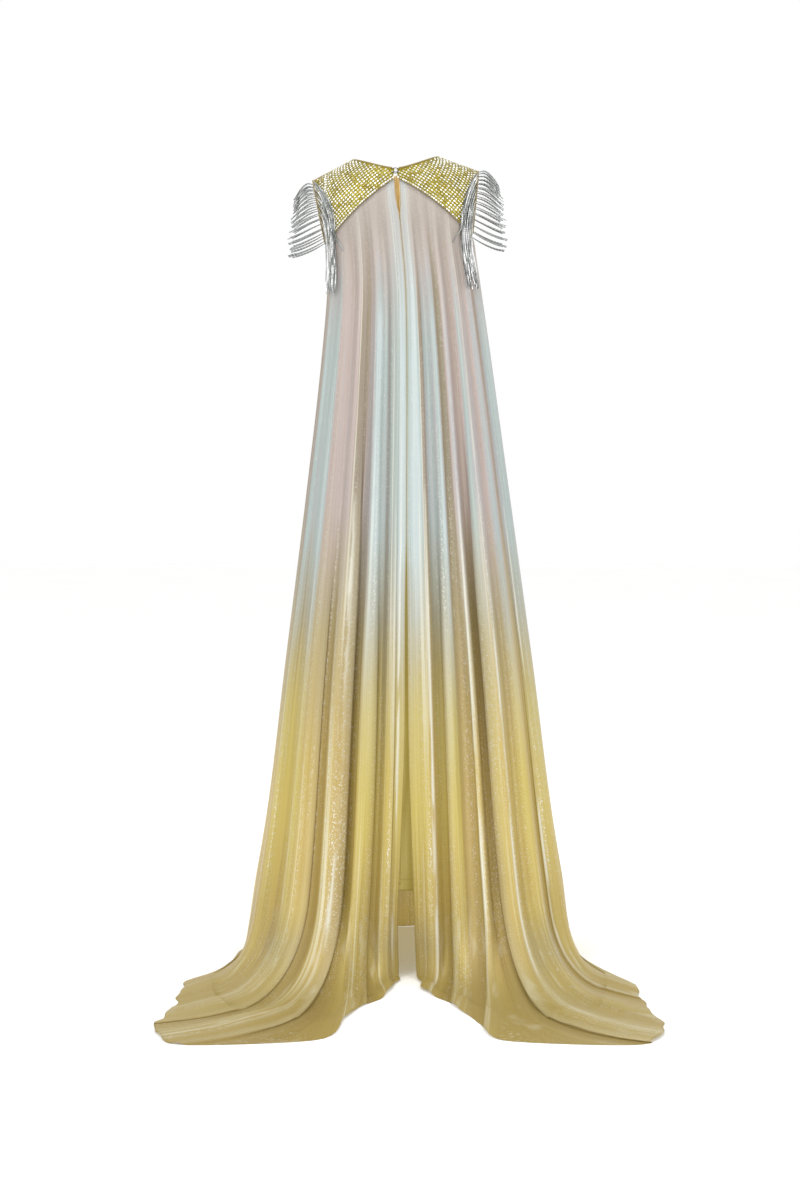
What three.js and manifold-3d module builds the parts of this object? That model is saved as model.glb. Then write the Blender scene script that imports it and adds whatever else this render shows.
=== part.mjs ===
// A long sleeveless evening kaftan, hollow, in the shape it has when worn and seen from behind.
// A stiff stone-covered yoke carries two thin back panels and a front panel over a satin lining.
// The back panels meet at the centre under a button, part again into a slit, and trail on the floor
// in two lobes. Strings of beads hang along both armholes. Sizes are in millimetres.
// +Z is up and +Y is where the wearer faces. The origin lies midway between the shoulder seams.

import * as THREE from "three";
import { mergeVertices } from "three/addons/utils/BufferGeometryUtils.js";
import Module from "manifold-3d";

const wasm = await Module();
wasm.setup();

// Driving sizes
const FLOOR = -1510;
const CLOTH_WALL = 1.2;
const LINING_WALL = 1;
const YOKE_WALL = 2.4;
const SEAM = 0.3;
const SEAM_DROP = 0.95;
const ROUNDNESS = 2.2;

// The neck and the shoulders
const NECK_HALF = 83;
const SHOULDER_HALF = 155;
const SHOULDER = {
  left: { neck: 13.6, slope: 0.52 },
  right: { neck: 19.3, slope: 0.36 },
};
const SHOULDER_ROUND = 90;
const BACK_NECK = -12;
const FRONT_NECK = -72;

// The yoke's lower edge and the armholes
const YOKE_CENTRE = -29;
const YOKE_SLOPE = { left: 0.62, right: 0.42 };
const YOKE_CURVE = 0.0021;
const YOKE_TIP = { left: 131, right: 143 };
const FRONT_YOKE_POINT = -170;
const UNDERARM = -150;
const TIP_SHARE = 0.8;
const YOKE_OPENING = { top: 2, low: 5 };

// The lining's hem above the floor, and how far it lies inside the cloth
const LINING_HEM = { back: 165, front: 80 };
const LINING_TUCK = 3.4;
const LINING_INSET = 10;
const LINING_TAPER = 0.016;

// The cloth sweeps out to its foot over this height, and folds grow from the seam over this one
const SWEEP_HEIGHT = 560;
const FOLD_START = 80;
const TOP_FOLD_SHARE = 0.22;

// The girth that the cloth hangs on, by height above the floor. The shoulders belong to the top row.
const BODY = [
  { height: 0, sway: 26, half: 324, back: 222, front: 210, middle: -62 },
  { height: 250, sway: 27, half: 279, back: 205, front: 192, middle: -51 },
  { height: 560, sway: 26, half: 239, back: 180, front: 170, middle: -37 },
  { height: 870, sway: 24, half: 198, back: 148, front: 145, middle: -22 },
  { height: 1180, sway: 20, half: 159, back: 115, front: 122, middle: -8 },
  { height: 1290, sway: 16, half: 147, back: 102, front: 114, middle: -2 },
  { height: 1368, sway: 9, half: 143, back: 95, front: 106, middle: 0 },
  { height: 1440, sway: 2, half: 178, back: 93, front: 98, middle: 0 },
];

// Folds of each panel: share runs from the centre back, or across the front, and out is the depth at the hem
const FOLDS = {
  left: [
    { share: 0, out: 5 },
    { share: 0.09, out: 13 },
    { share: 0.15, out: -12 },
    { share: 0.22, out: 11 },
    { share: 0.29, out: -17 },
    { share: 0.36, out: 15 },
    { share: 0.46, out: -9 },
    { share: 0.56, out: 10 },
    { share: 0.67, out: -7 },
    { share: 0.79, out: 9 },
    { share: 0.9, out: -4 },
    { share: 1, out: 0 },
  ],
  right: [
    { share: 0, out: 5 },
    { share: 0.09, out: 14 },
    { share: 0.15, out: -13 },
    { share: 0.2, out: 9 },
    { share: 0.26, out: -6 },
    { share: 0.31, out: 10 },
    { share: 0.38, out: -18 },
    { share: 0.45, out: 15 },
    { share: 0.54, out: -5 },
    { share: 0.62, out: 9 },
    { share: 0.71, out: -7 },
    { share: 0.81, out: 9 },
    { share: 0.91, out: -4 },
    { share: 1, out: 0 },
  ],
  front: [
    { share: -1, out: 0 },
    { share: -0.84, out: 9 },
    { share: -0.68, out: -8 },
    { share: -0.52, out: 11 },
    { share: -0.36, out: -10 },
    { share: -0.2, out: 12 },
    { share: -0.04, out: -9 },
    { share: 0.12, out: 12 },
    { share: 0.28, out: -11 },
    { share: 0.44, out: 10 },
    { share: 0.6, out: -8 },
    { share: 0.78, out: 10 },
    { share: 1, out: 0 },
  ],
};

// How each back panel lies at its foot: where it meets the floor, the bend of its way out, and its hem.
// Sideways places count from the centre of the hem.
const TRAIN = {
  left: [
    { share: 0, footX: 0, footY: -274, bendX: 0, bendY: -286, hemX: 0, hemY: -298 },
    { share: 0.09, footX: 46, footY: -300, bendX: 38, bendY: -340, hemX: 34, hemY: -386 },
    { share: 0.15, footX: 78, footY: -318, bendX: 70, bendY: -390, hemX: 66, hemY: -452 },
    { share: 0.22, footX: 106, footY: -338, bendX: 106, bendY: -450, hemX: 112, hemY: -556 },
    { share: 0.26, footX: 124, footY: -350, bendX: 130, bendY: -560, hemX: 150, hemY: -686 },
    { share: 0.29, footX: 136, footY: -356, bendX: 166, bendY: -660, hemX: 340, hemY: -719 },
    { share: 0.33, footX: 148, footY: -358, bendX: 190, bendY: -600, hemX: 402, hemY: -694 },
    { share: 0.46, footX: 196, footY: -350, bendX: 260, bendY: -540, hemX: 430, hemY: -600 },
    { share: 0.6, footX: 246, footY: -318, bendX: 320, bendY: -440, hemX: 414, hemY: -500 },
    { share: 0.74, footX: 286, footY: -264, bendX: 340, bendY: -340, hemX: 411, hemY: -400 },
    { share: 0.86, footX: 309, footY: -196, bendX: 346, bendY: -250, hemX: 406, hemY: -312 },
    { share: 0.94, footX: 320, footY: -130, bendX: 334, bendY: -156, hemX: 350, hemY: -196 },
    { share: 1, footX: 324, footY: -62, bendX: 328, bendY: -66, hemX: 334, hemY: -70 },
  ],
  right: [
    { share: 0, footX: 0, footY: -276, bendX: 0, bendY: -288, hemX: 0, hemY: -300 },
    { share: 0.09, footX: 44, footY: -304, bendX: 36, bendY: -340, hemX: 28, hemY: -384 },
    { share: 0.15, footX: 72, footY: -318, bendX: 64, bendY: -370, hemX: 56, hemY: -434 },
    { share: 0.2, footX: 96, footY: -330, bendX: 92, bendY: -410, hemX: 84, hemY: -488 },
    { share: 0.28, footX: 132, footY: -342, bendX: 126, bendY: -470, hemX: 116, hemY: -592 },
    { share: 0.34, footX: 158, footY: -346, bendX: 152, bendY: -560, hemX: 150, hemY: -686 },
    { share: 0.38, footX: 176, footY: -346, bendX: 200, bendY: -690, hemX: 350, hemY: -719 },
    { share: 0.42, footX: 192, footY: -344, bendX: 226, bendY: -620, hemX: 400, hemY: -694 },
    { share: 0.52, footX: 226, footY: -330, bendX: 286, bendY: -540, hemX: 428, hemY: -604 },
    { share: 0.64, footX: 260, footY: -300, bendX: 326, bendY: -440, hemX: 414, hemY: -500 },
    { share: 0.76, footX: 289, footY: -250, bendX: 342, bendY: -330, hemX: 410, hemY: -400 },
    { share: 0.87, footX: 310, footY: -186, bendX: 346, bendY: -246, hemX: 405, hemY: -312 },
    { share: 0.94, footX: 320, footY: -130, bendX: 334, bendY: -156, hemX: 350, hemY: -196 },
    { share: 1, footX: 324, footY: -62, bendX: 328, bendY: -66, hemX: 334, hemY: -70 },
  ],
};

// The gap between the back panels by height above the floor: the slit, the seam and the keyhole.
// Aside is how far it lies from the middle of the girth.
const CENTRE_GAP = [
  { height: 0, half: 16.4, aside: -3 },
  { height: 130, half: 14.5, aside: -7 },
  { height: 240, half: 10, aside: -7 },
  { height: 420, half: 4, aside: -6 },
  { height: 700, half: 2, aside: -5 },
  { height: 820, half: 0.15, aside: -4 },
  { height: 1404, half: 0.15, aside: 3 },
  { height: 1434, half: 3.8, aside: 3 },
  { height: 1458, half: 4.8, aside: 2 },
  { height: 1481, half: 4.6, aside: 0 },
];

// The gap in the lining's back, which is sewn up between its own slit and the keyhole
const LINING_GAP = [
  { height: 0, half: 17, aside: -4 },
  { height: 400, half: 8, aside: -5 },
  { height: 620, half: 0.15, aside: -5 },
  { height: 1384, half: 0.15, aside: 3 },
  { height: 1424, half: 4.6, aside: 3 },
  { height: 1490, half: 5.4, aside: 0 },
];

const clamp = (value, low, high) => Math.min(high, Math.max(low, value));
const mix = (a, b, share) => a + (b - a) * share;
const ease = (share) => (1 - Math.cos(Math.PI * clamp(share, 0, 1))) / 2;
const heightOf = (z) => z - FLOOR;
const sideName = (side) => (side < 0 ? "left" : "right");

// The rows of a table that lie round a place, and the share of the way between them
function between(table, key, place) {
  const last = table.length - 2;
  const found = table.findIndex((row) => row[key] > place) - 1;
  const index = found < 0 ? (place <= table[0][key] ? 0 : last) : found;
  const [low, high] = [table[index][key], table[index + 1][key]];
  return { index, low, high, share: clamp((place - low) / (high - low), 0, 1) };
}

// A smooth curve through one column of a table, which never swings past its rows
function curveOf(table, key, column, place) {
  const { index, low, high, share } = between(table, key, place);
  const rate = (i) => {
    const [a, b] = [table[clamp(i, 0, table.length - 2)], table[clamp(i, 0, table.length - 2) + 1]];
    return (b[column] - a[column]) / (b[key] - a[key]);
  };
  const slope = (i) => {
    const [before, after] = [rate(i - 1), rate(i)];
    const most = 3 * Math.min(Math.abs(before), Math.abs(after));
    return before * after <= 0 ? 0 : clamp((before + after) / 2, -most, most) * (high - low);
  };
  const [p, q, t] = [table[index][column], table[index + 1][column], share];
  const rise = (q - p) * (3 * t * t - 2 * t * t * t);
  return p + rise + slope(index) * t * (1 - t) ** 2 - slope(index + 1) * t * t * (1 - t);
}

// Waves that turn at each row of a table
function wavesOf(table, key, column, place) {
  const { index, share } = between(table, key, place);
  return mix(table[index][column], table[index + 1][column], ease(share));
}

// The height of the shoulder line at a place across the body
function shoulderLine(x) {
  const { neck, slope } = SHOULDER[x < 0 ? "left" : "right"];
  return neck + slope * (NECK_HALF - Math.abs(x));
}

// The girth at a height: its middle, its sizes, and how far across the cloth's columns reach
function girth(z) {
  const height = heightOf(z);
  const row = { half: 0, sway: 0, back: 0, front: 0, middle: 0 };
  for (const column of Object.keys(row)) row[column] = curveOf(BODY, "height", column, height);
  const underarm = BODY.find((entry) => entry.height === 1368);
  row.reach = height > underarm.height ? underarm.half : row.half;
  return row;
}

// A point of the worn surface, facing -1 for the back and 1 for the front, with its outward direction
function worn(x, z, facing, inset = 0) {
  const body = girth(z);
  const depth = facing < 0 ? body.back : body.front;
  const across = clamp((x - body.sway) / body.half, -1, 1);
  const round = (1 - Math.abs(across) ** ROUNDNESS) ** (1 / ROUNDNESS);
  const drop = clamp((shoulderLine(x) - z) / SHOULDER_ROUND, 0, 1);
  const shoulder = Math.sqrt(1 - (1 - drop) ** 2);
  const out = new THREE.Vector3(
    (Math.sign(across) * Math.abs(across) ** (ROUNDNESS - 1)) / body.half,
    (facing * round ** (ROUNDNESS - 1)) / depth,
    0,
  ).normalize();
  const point = new THREE.Vector3(x, body.middle + facing * depth * round * shoulder, z);
  return { point: point.addScaledVector(out, -inset), out };
}

// The direction in which the worn surface faces, shoulders included
function wornNormal(x, z, facing) {
  const at = (dx, dz) => worn(x + dx, z + dz, facing).point;
  const across = at(1, 0).sub(at(-1, 0));
  const along = at(0, -1).sub(at(0, 0));
  return across.cross(along).multiplyScalar(-facing).normalize();
}

// The lower edge of the back yoke and of the front yoke
function backYokeEdge(x) {
  const slope = x < 0 ? YOKE_SLOPE.left : YOKE_SLOPE.right;
  return YOKE_CENTRE - slope * Math.abs(x) - YOKE_CURVE * x * x;
}

function frontYokeEdge(x) {
  const tip = x < 0 ? -YOKE_TIP.left : YOKE_TIP.right;
  return mix(FRONT_YOKE_POINT, backYokeEdge(tip), (x / tip) ** 1.3);
}

// How far a column of one side is moved by the gap at the centre back
function parting(side, gaps, share, z) {
  const half = Math.max(SEAM / 2, curveOf(gaps, "height", "half", heightOf(z)));
  const aside = curveOf(gaps, "height", "aside", heightOf(z));
  return (side * half + aside) * clamp(1 - share / 0.18, 0, 1) ** 2;
}

// How far across a column of cloth lies at a height
function columnX(side, share, z, gaps) {
  const body = girth(z);
  const opened = gaps ? parting(side, gaps, share, z) : 0;
  return body.sway + side * body.reach * Math.sin((share * Math.PI) / 2) + opened;
}

// Where a column of cloth starts: along the yoke, then round the bottom of the armhole
function columnTop(side, share, edge, gaps, z = YOKE_CENTRE) {
  const x = columnX(side, share, z, gaps);
  const tip = side * YOKE_TIP[sideName(side)];
  if (share > TIP_SHARE) {
    return mix(edge(tip), UNDERARM, ease((share - TIP_SHARE) / (1 - TIP_SHARE)));
  }
  const found = edge(clamp(x, Math.min(0, tip), Math.max(0, tip)));
  return Math.abs(found - z) < 0.01 ? found : columnTop(side, share, edge, gaps, found);
}

// How strongly the folds show at a height below a column's top
const foldShare = (z, top) =>
  ease((top - z) / FOLD_START) * mix(1, TOP_FOLD_SHARE, clamp(heightOf(z) / 1400, 0, 1));

// A point on the hanging part of a back panel
function backWall(side, share, z, top) {
  const name = sideName(side);
  const { point, out } = worn(columnX(side, share, z, CENTRE_GAP), z, -1);
  const standing = worn(columnX(side, share, FLOOR, CENTRE_GAP), FLOOR, -1).point;
  const foot = backTrain(side, share, 0);
  const sweep = clamp(1 - heightOf(z) / SWEEP_HEIGHT, 0, 1) ** 2;
  point.x += sweep * (foot.x - standing.x);
  point.y += sweep * (foot.y - standing.y) - (share === 1 ? SEAM / 2 : 0);
  return point.addScaledVector(out, foldShare(z, top) * wavesOf(FOLDS[name], "share", "out", share));
}

// A point on the part of a back panel that lies on the floor, way running from its foot to its hem
function backTrain(side, share, way) {
  const rows = TRAIN[sideName(side)];
  const at = (column) => curveOf(rows, "share", column, share);
  const opened = parting(side, CENTRE_GAP, share, FLOOR);
  const bezier = (a, b, c) => (1 - way) ** 2 * a + 2 * way * (1 - way) * b + way ** 2 * c;
  const lift = Math.max(0, wavesOf(FOLDS[sideName(side)], "share", "out", share) + 5);
  return new THREE.Vector3(
    BODY[0].sway + side * bezier(at("footX"), at("bendX"), at("hemX")) + opened,
    bezier(at("footY"), at("bendY"), at("hemY")) - (share === 1 ? SEAM / 2 : 0),
    FLOOR + CLOTH_WALL / 2 + lift * (0.85 - 0.6 * way),
  );
}

// The whole way of one column of a back panel, from the yoke to the hem
const HANGING_ROWS = [0, 0.02, 0.05, 0.1, 0.2, 0.34, 0.5, 0.64, 0.76, 0.86, 0.94, 1];
const BENDING_ROWS = [0.3, 0.55, 0.8, 1];
const LYING_ROWS = [0.3, 0.65, 1];

function backColumn(side, share) {
  const top = columnTop(side, share, backYokeEdge, CENTRE_GAP) - SEAM_DROP;
  const [foot, hem] = [backTrain(side, share, 0), backTrain(side, share, 1)];
  const length = foot.distanceTo(hem);
  const rise = Math.min(170, 16 + 0.5 * length);
  const start = backWall(side, share, FLOOR + rise, top);
  const corner = backWall(side, share, FLOOR + CLOTH_WALL / 2, top);
  const landing = clamp(rise / (length + 1), 0, 0.6);
  const end = backTrain(side, share, landing);
  const hanging = HANGING_ROWS.map((fall) => backWall(side, share, mix(top, FLOOR + rise, fall), top));
  const bending = BENDING_ROWS.map((t) =>
    start.clone().multiplyScalar((1 - t) ** 2)
      .addScaledVector(corner, 2 * t * (1 - t))
      .addScaledVector(end, t * t));
  const lying = LYING_ROWS.map((t) => backTrain(side, share, mix(landing, 1, t)));
  return [...hanging, ...bending, ...lying];
}

// A column of the front panel, share running from -1 at the left side to 1 at the right
function frontColumn(share) {
  const side = share < 0 ? -1 : 1;
  const top = columnTop(side, Math.abs(share), frontYokeEdge) - SEAM_DROP;
  const hem = FLOOR + 4;
  return [0, 0.03, 0.08, 0.16, 0.3, 0.48, 0.66, 0.82, 0.93, 1].map((fall) => {
    const z = mix(top, hem, fall);
    const { point, out } = worn(columnX(side, Math.abs(share), z), z, 1);
    point.y += Math.abs(share) === 1 ? SEAM / 2 : 0;
    return point.addScaledVector(out, foldShare(z, top) * wavesOf(FOLDS.front, "share", "out", share));
  });
}

// A column of the lining, tucked behind the yoke at its top and clear of the folds below
function liningColumn(side, share, facing) {
  const edge = facing < 0 ? backYokeEdge : frontYokeEdge;
  const tucked = mix(7, -1.5, ease((share - 0.66) / 0.16));
  const gaps = facing < 0 ? LINING_GAP : null;
  const top = columnTop(side, share, edge, gaps) + tucked;
  const round = Math.cos((share * Math.PI) / 2);
  const sideHem = (LINING_HEM.back + LINING_HEM.front) / 2;
  const hem = FLOOR + mix(sideHem, facing < 0 ? LINING_HEM.back : LINING_HEM.front, round);
  return [0, 0.02, 0.06, 0.14, 0.3, 0.5, 0.75, 1].map((fall) => {
    const z = mix(top, hem, fall);
    const inset = mix(LINING_TUCK, LINING_INSET + LINING_TAPER * (top - z), ease((top - z) / 70));
    const { point } = worn(columnX(side, share, z, gaps), z, facing, inset);
    point.y += share === 1 ? (facing * SEAM) / 2 : 0;
    return point;
  });
}

// A point of the yoke: across runs from the centre to the armhole, down from the neck or the shoulder
function yokePoint(side, across, down, facing) {
  const name = sideName(side);
  const shoulder = mix(NECK_HALF, SHOULDER_HALF, clamp(across * 2 - 1, 0, 1));
  const turn = 1 - (1 - clamp(across * 2, 0, 1)) ** 2;
  const neck = NECK_HALF * turn;
  const centre = facing < 0 ? YOKE_OPENING : { top: 0, low: 0 };
  const topX = side * Math.max(centre.top, across > 0.5 ? shoulder : neck);
  const dip = facing < 0 ? BACK_NECK : FRONT_NECK;
  const curve = turn ** (facing < 0 ? 1.4 : 1.7);
  const topZ = across > 0.5 ? shoulderLine(topX) : mix(dip, shoulderLine(side * NECK_HALF), curve);
  const lowX = side * Math.max(centre.low, YOKE_TIP[name] * across);
  const lowZ = facing < 0 ? backYokeEdge(lowX) : frontYokeEdge(lowX);
  const share = down ** 1.5;
  const [x, z] = [mix(topX, lowX, share), mix(topZ, lowZ, share)];
  const { point } = worn(x, z, facing);
  point.normal = wornNormal(x, z, facing);
  point.y += facing * (down === 0 && across >= 0.5 ? 1.3 * SEAM : 0);
  return point;
}

// A closed wall of one thickness round a grid of points, columns across and rows down.
// A point may state its own outward direction.
function wall(columns, thickness) {
  const [wide, high] = [columns.length, columns[0].length];
  const at = (c, r) => columns[clamp(c, 0, wide - 1)][clamp(r, 0, high - 1)];
  const positions = [];
  for (const half of [thickness / 2, -thickness / 2]) {
    for (let c = 0; c < wide; c += 1) {
      for (let r = 0; r < high; r += 1) {
        const over = at(c + 1, r).clone().sub(at(c - 1, r));
        const down = at(c, r + 1).clone().sub(at(c, r - 1));
        const normal = at(c, r).normal ?? over.cross(down).normalize();
        positions.push(...at(c, r).clone().addScaledVector(normal, half).toArray());
      }
    }
  }
  const index = [];
  const back = wide * high;
  const cell = (a, b, c, d) => index.push(a, b, c, a, c, d);
  for (let c = 0; c + 1 < wide; c += 1) {
    for (let r = 0; r + 1 < high; r += 1) {
      const [a, b, d, e] = [c * high + r, c * high + r + 1, (c + 1) * high + r + 1, (c + 1) * high + r];
      cell(a, e, d, b);
      cell(back + a, back + b, back + d, back + e);
    }
  }
  const rim = [];
  for (let r = 0; r < high; r += 1) rim.push(r);
  for (let c = 1; c < wide; c += 1) rim.push(c * high + high - 1);
  for (let r = high - 2; r >= 0; r -= 1) rim.push((wide - 1) * high + r);
  for (let c = wide - 2; c > 0; c -= 1) rim.push(c * high);
  rim.forEach((a, i) => {
    const b = rim[(i + 1) % rim.length];
    cell(a, b, back + b, back + a);
  });
  const geometry = new THREE.BufferGeometry();
  geometry.setAttribute("position", new THREE.Float32BufferAttribute(positions, 3));
  geometry.setIndex(index);
  return facingOut(geometry);
}

// The same geometry with its triangles turned round if they point inwards
function facingOut(geometry) {
  const [place, index] = [geometry.attributes.position, geometry.index.array];
  const [a, b, c] = [new THREE.Vector3(), new THREE.Vector3(), new THREE.Vector3()];
  let volume = 0;
  for (let i = 0; i < index.length; i += 3) {
    a.fromBufferAttribute(place, index[i]);
    b.fromBufferAttribute(place, index[i + 1]);
    c.fromBufferAttribute(place, index[i + 2]);
    volume += a.dot(b.cross(c));
  }
  if (volume < 0) {
    for (let i = 0; i < index.length; i += 3) [index[i], index[i + 1]] = [index[i + 1], index[i]];
  }
  return geometry;
}

// Places across a panel: each turn of its folds and steps between them
function sharesOf(folds, steps) {
  return folds.slice(1).flatMap((row, i) => {
    const from = folds[i].share;
    return Array.from({ length: steps }, (_, k) => mix(from, row.share, (k + 1) / steps));
  }).reduce((all, share) => [...all, share], [folds[0].share]);
}

const evenly = (from, to, steps) =>
  Array.from({ length: steps + 1 }, (_, i) => mix(from, to, i / steps));

// Solids for joining
function toSolid(geometry) {
  const bare = geometry.clone();
  bare.deleteAttribute("normal");
  bare.deleteAttribute("uv");
  const merged = mergeVertices(bare, 1e-4);
  return new wasm.Manifold(new wasm.Mesh({
    numProp: 3,
    vertProperties: new Float32Array(merged.attributes.position.array),
    triVerts: new Uint32Array(merged.index.array),
  }));
}

function toGeometry(solid) {
  const mesh = solid.getMesh();
  const geometry = new THREE.BufferGeometry();
  geometry.setAttribute("position", new THREE.BufferAttribute(mesh.vertProperties, 3));
  geometry.setIndex(new THREE.BufferAttribute(mesh.triVerts, 1));
  return geometry;
}

// A bar with a few sides along a smooth curve through points
function bar(points, radius, sides, steps) {
  const outline = new THREE.Shape(evenly(0, 1, sides).slice(0, sides).map((turn) =>
    new THREE.Vector2(Math.cos(turn * 2 * Math.PI), Math.sin(turn * 2 * Math.PI)).multiplyScalar(radius)));
  const extrudePath = new THREE.CatmullRomCurve3(points);
  return new THREE.ExtrudeGeometry(outline, { steps, bevelEnabled: false, extrudePath });
}

// Fringe sizes
const STRIP_RADIUS = 2;
const STRING_RADIUS = 1.15;
const STRING_PITCH = 3.1;
const HANGING_START = { left: 13, right: 3 };
const HANGING_PITCH = 5;
const HANGING_STRINGS = 6;
const HANGING_LAYERS = 2;
const HANGING_END = { left: -238, right: -228 };
const FAN_STRINGS = 14;
const FAN_DROP = 27;
const FAN = {
  left: { start: 0.2, topEnd: 193, lowEnd: 206 },
  right: { start: 0.08, topEnd: 198, lowEnd: 214 },
};

// A point beside the yoke's armhole edge: inwards along the yoke's surface, and lifted off it
function beside(side, down, facing, inwards, lifted) {
  const place = yokePoint(side, 1, down, facing);
  const steps = inwards > 0 ? 8 : 1;
  for (let step = 0; step < steps; step += 1) {
    const { out } = worn(place.x, place.z, facing);
    const along = new THREE.Vector3(-out.y, out.x, 0).multiplyScalar(side * facing);
    place.addScaledVector(along, inwards / steps);
    if (inwards > 0) place.copy(worn(place.x, place.z, facing).point);
  }
  return place.addScaledVector(worn(place.x, place.z, facing).out, lifted);
}

const stripPoint = (side, down, facing) =>
  beside(side, down, facing, -1.6, YOKE_WALL / 2 + STRIP_RADIUS + SEAM);

// One string that leaves the strip, lies along the edge over the yoke and then hangs
function hangingString(side, facing, slot, layer) {
  const start = mix(0.1, 0.78, (slot + layer / 2) / HANGING_STRINGS);
  const inwards = HANGING_START[sideName(side)] + (HANGING_STRINGS - slot) * HANGING_PITCH;
  const lifted = YOKE_WALL / 2 + STRING_RADIUS + 1.6 + layer * STRING_PITCH;
  const low = beside(side, 0.96, facing, inwards, lifted);
  const seat = beside(side, 0.96, facing, inwards, 0);
  const across = (seat.x - girth(seat.z).sway) / girth(seat.z).half;
  const end = HANGING_END[sideName(side)] + 7 * Math.sin(5 * slot + 3 * layer);
  const laid = evenly(start + 0.1, 0.96, Math.ceil((0.86 - start) / 0.2)).map((down) =>
    beside(side, down, facing, inwards * ((down - start) / (0.96 - start)) ** 0.8, lifted));
  const hung = evenly(low.z, end, 3).slice(1).map((z, i) => {
    const { point, out } = worn(girth(z).sway + across * girth(z).half, z, facing);
    return point.addScaledVector(out, lifted + 1 + i);
  });
  return [stripPoint(side, start, facing), ...laid, ...hung];
}

// One string that reaches out past the shoulder, as over an arm
function fanString(side, facing, index) {
  const { start, topEnd, lowEnd } = FAN[sideName(side)];
  const share = index / (FAN_STRINGS - 1);
  const root = stripPoint(side, mix(start, 0.97, share), facing);
  const end = side * mix(topEnd, lowEnd, share);
  const falls = [[0, 0], [0.35, mix(-0.05, 0.5, share)], [0.7, mix(0.38, 0.86, share)], [1, 1]];
  return falls.map(([out, fall]) =>
    new THREE.Vector3(mix(root.x, end, out), root.y * (1 + 0.06 * out), root.z - FAN_DROP * fall));
}

// The strings along one edge of an armhole, joined at their roots by the strip that they are sewn to
function fringe(side, facing) {
  const strip = bar(evenly(0.04, 0.98, 12).map((down) => stripPoint(side, down, facing)), STRIP_RADIUS, 4, 9);
  let solid = toSolid(strip);
  for (let layer = 0; layer < HANGING_LAYERS; layer += 1) {
    for (let slot = 0; slot < HANGING_STRINGS; slot += 1) {
      const path = hangingString(side, facing, slot, layer);
      solid = solid.add(toSolid(bar(path, STRING_RADIUS, 3, path.length)));
    }
  }
  for (let index = 0; index < FAN_STRINGS; index += 1) {
    solid = solid.add(toSolid(bar(fanString(side, facing, index), STRING_RADIUS, 3, 4)));
  }
  return toGeometry(solid.simplify(0.04));
}

// The button at the back of the neck, flattened like a pearl half, and the loop that goes round it
const BUTTON_PLACE = { x: 0.5, z: -16.5 };
const BUTTON_RADIUS = 3.6;
const LOOP_RADIUS = 0.7;
const BUTTON_LIFT = YOKE_WALL / 2 + SEAM + 2.6;

// A place over the centre back of the yoke, at the height at which the button sits on it
function overNeck(x, z) {
  const { point, out } = worn(BUTTON_PLACE.x + x, BUTTON_PLACE.z + z, -1);
  return point.addScaledVector(out, BUTTON_LIFT);
}

function neckButton() {
  const profile = evenly(-Math.PI / 2, Math.PI / 2, 8).map((turn) =>
    new THREE.Vector2(Math.max(0, BUTTON_RADIUS * Math.cos(turn)), 2.6 * Math.sin(turn)));
  profile[0].x = 0;
  profile[profile.length - 1].x = 0;
  return new THREE.LatheGeometry(profile, 14);
}

function neckLoop() {
  const around = BUTTON_RADIUS + LOOP_RADIUS + SEAM + 0.5;
  const ring = evenly(0.5 * Math.PI, -0.5 * Math.PI, 6).map((turn) =>
    overNeck(around * Math.cos(turn), around * Math.sin(turn)));
  return bar([overNeck(-9, around * 0.6), ...ring, overNeck(-9, -around * 0.6)], LOOP_RADIUS, 6, 22);
}

// Colours and finishes
const finish = (color, roughness, metalness) =>
  new THREE.MeshStandardMaterial({ color, roughness, metalness, side: THREE.DoubleSide });
const SHEER = finish(0xcbbf8e, 0.45, 0.15);
const SATIN = finish(0xb59a45, 0.4, 0.1);
const STONES = finish(0xd8c65c, 0.3, 0.5);
const BEADS = finish(0x9aa09c, 0.3, 0.6);
const PEARL = finish(0xf2efe6, 0.25, 0.1);

const kaftan = new THREE.Group();
kaftan.name = "kaftan";

function addPiece(name, geometry, material) {
  const mesh = new THREE.Mesh(geometry, material);
  mesh.name = name;
  kaftan.add(mesh);
  return mesh;
}

for (const side of [-1, 1]) {
  const name = sideName(side);
  const columns = sharesOf(FOLDS[name], 3).map((share) => backColumn(side, share));
  addPiece(`back_panel_${name}`, wall(columns, CLOTH_WALL), SHEER);
  const lining = evenly(0, 1, 12).map((share) => liningColumn(side, share, -1));
  addPiece(`lining_back_${name}`, wall(lining, LINING_WALL), SATIN);
  const yoke = evenly(0, 1, 12).map((across) =>
    evenly(0, 1, 8).map((down) => yokePoint(side, across, down, -1)));
  addPiece(`yoke_back_${name}`, wall(yoke, YOKE_WALL), STONES);
  addPiece(`fringe_back_${name}`, fringe(side, -1), BEADS);
  addPiece(`fringe_front_${name}`, fringe(side, 1), BEADS);
}

addPiece("front_panel", wall(sharesOf(FOLDS.front, 2).map(frontColumn), CLOTH_WALL), SHEER);
addPiece("lining_front", wall(evenly(-1, 1, 20).map((share) =>
  liningColumn(share < 0 ? -1 : 1, Math.abs(share), 1)), LINING_WALL), SATIN);
const yokeFront = evenly(-1, 1, 24).map((across) =>
  evenly(0, 1, 8).map((down) => yokePoint(across < 0 ? -1 : 1, Math.abs(across), down, 1)));
addPiece("yoke_front", wall(yokeFront, YOKE_WALL), STONES);

const button = addPiece("neck_button", neckButton(), PEARL);
button.position.copy(overNeck(0, 0));
addPiece("neck_loop", neckLoop(), PEARL);

export default kaftan;
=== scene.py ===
# The looks of a long sleeveless evening kaftan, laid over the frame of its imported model.
# Tables and surfaces are in millimetres, as the cut is, and become metres when a mesh is made.
# +Z is up, +Y is where the wearer faces, and the picture is taken from behind.

import math

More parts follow.
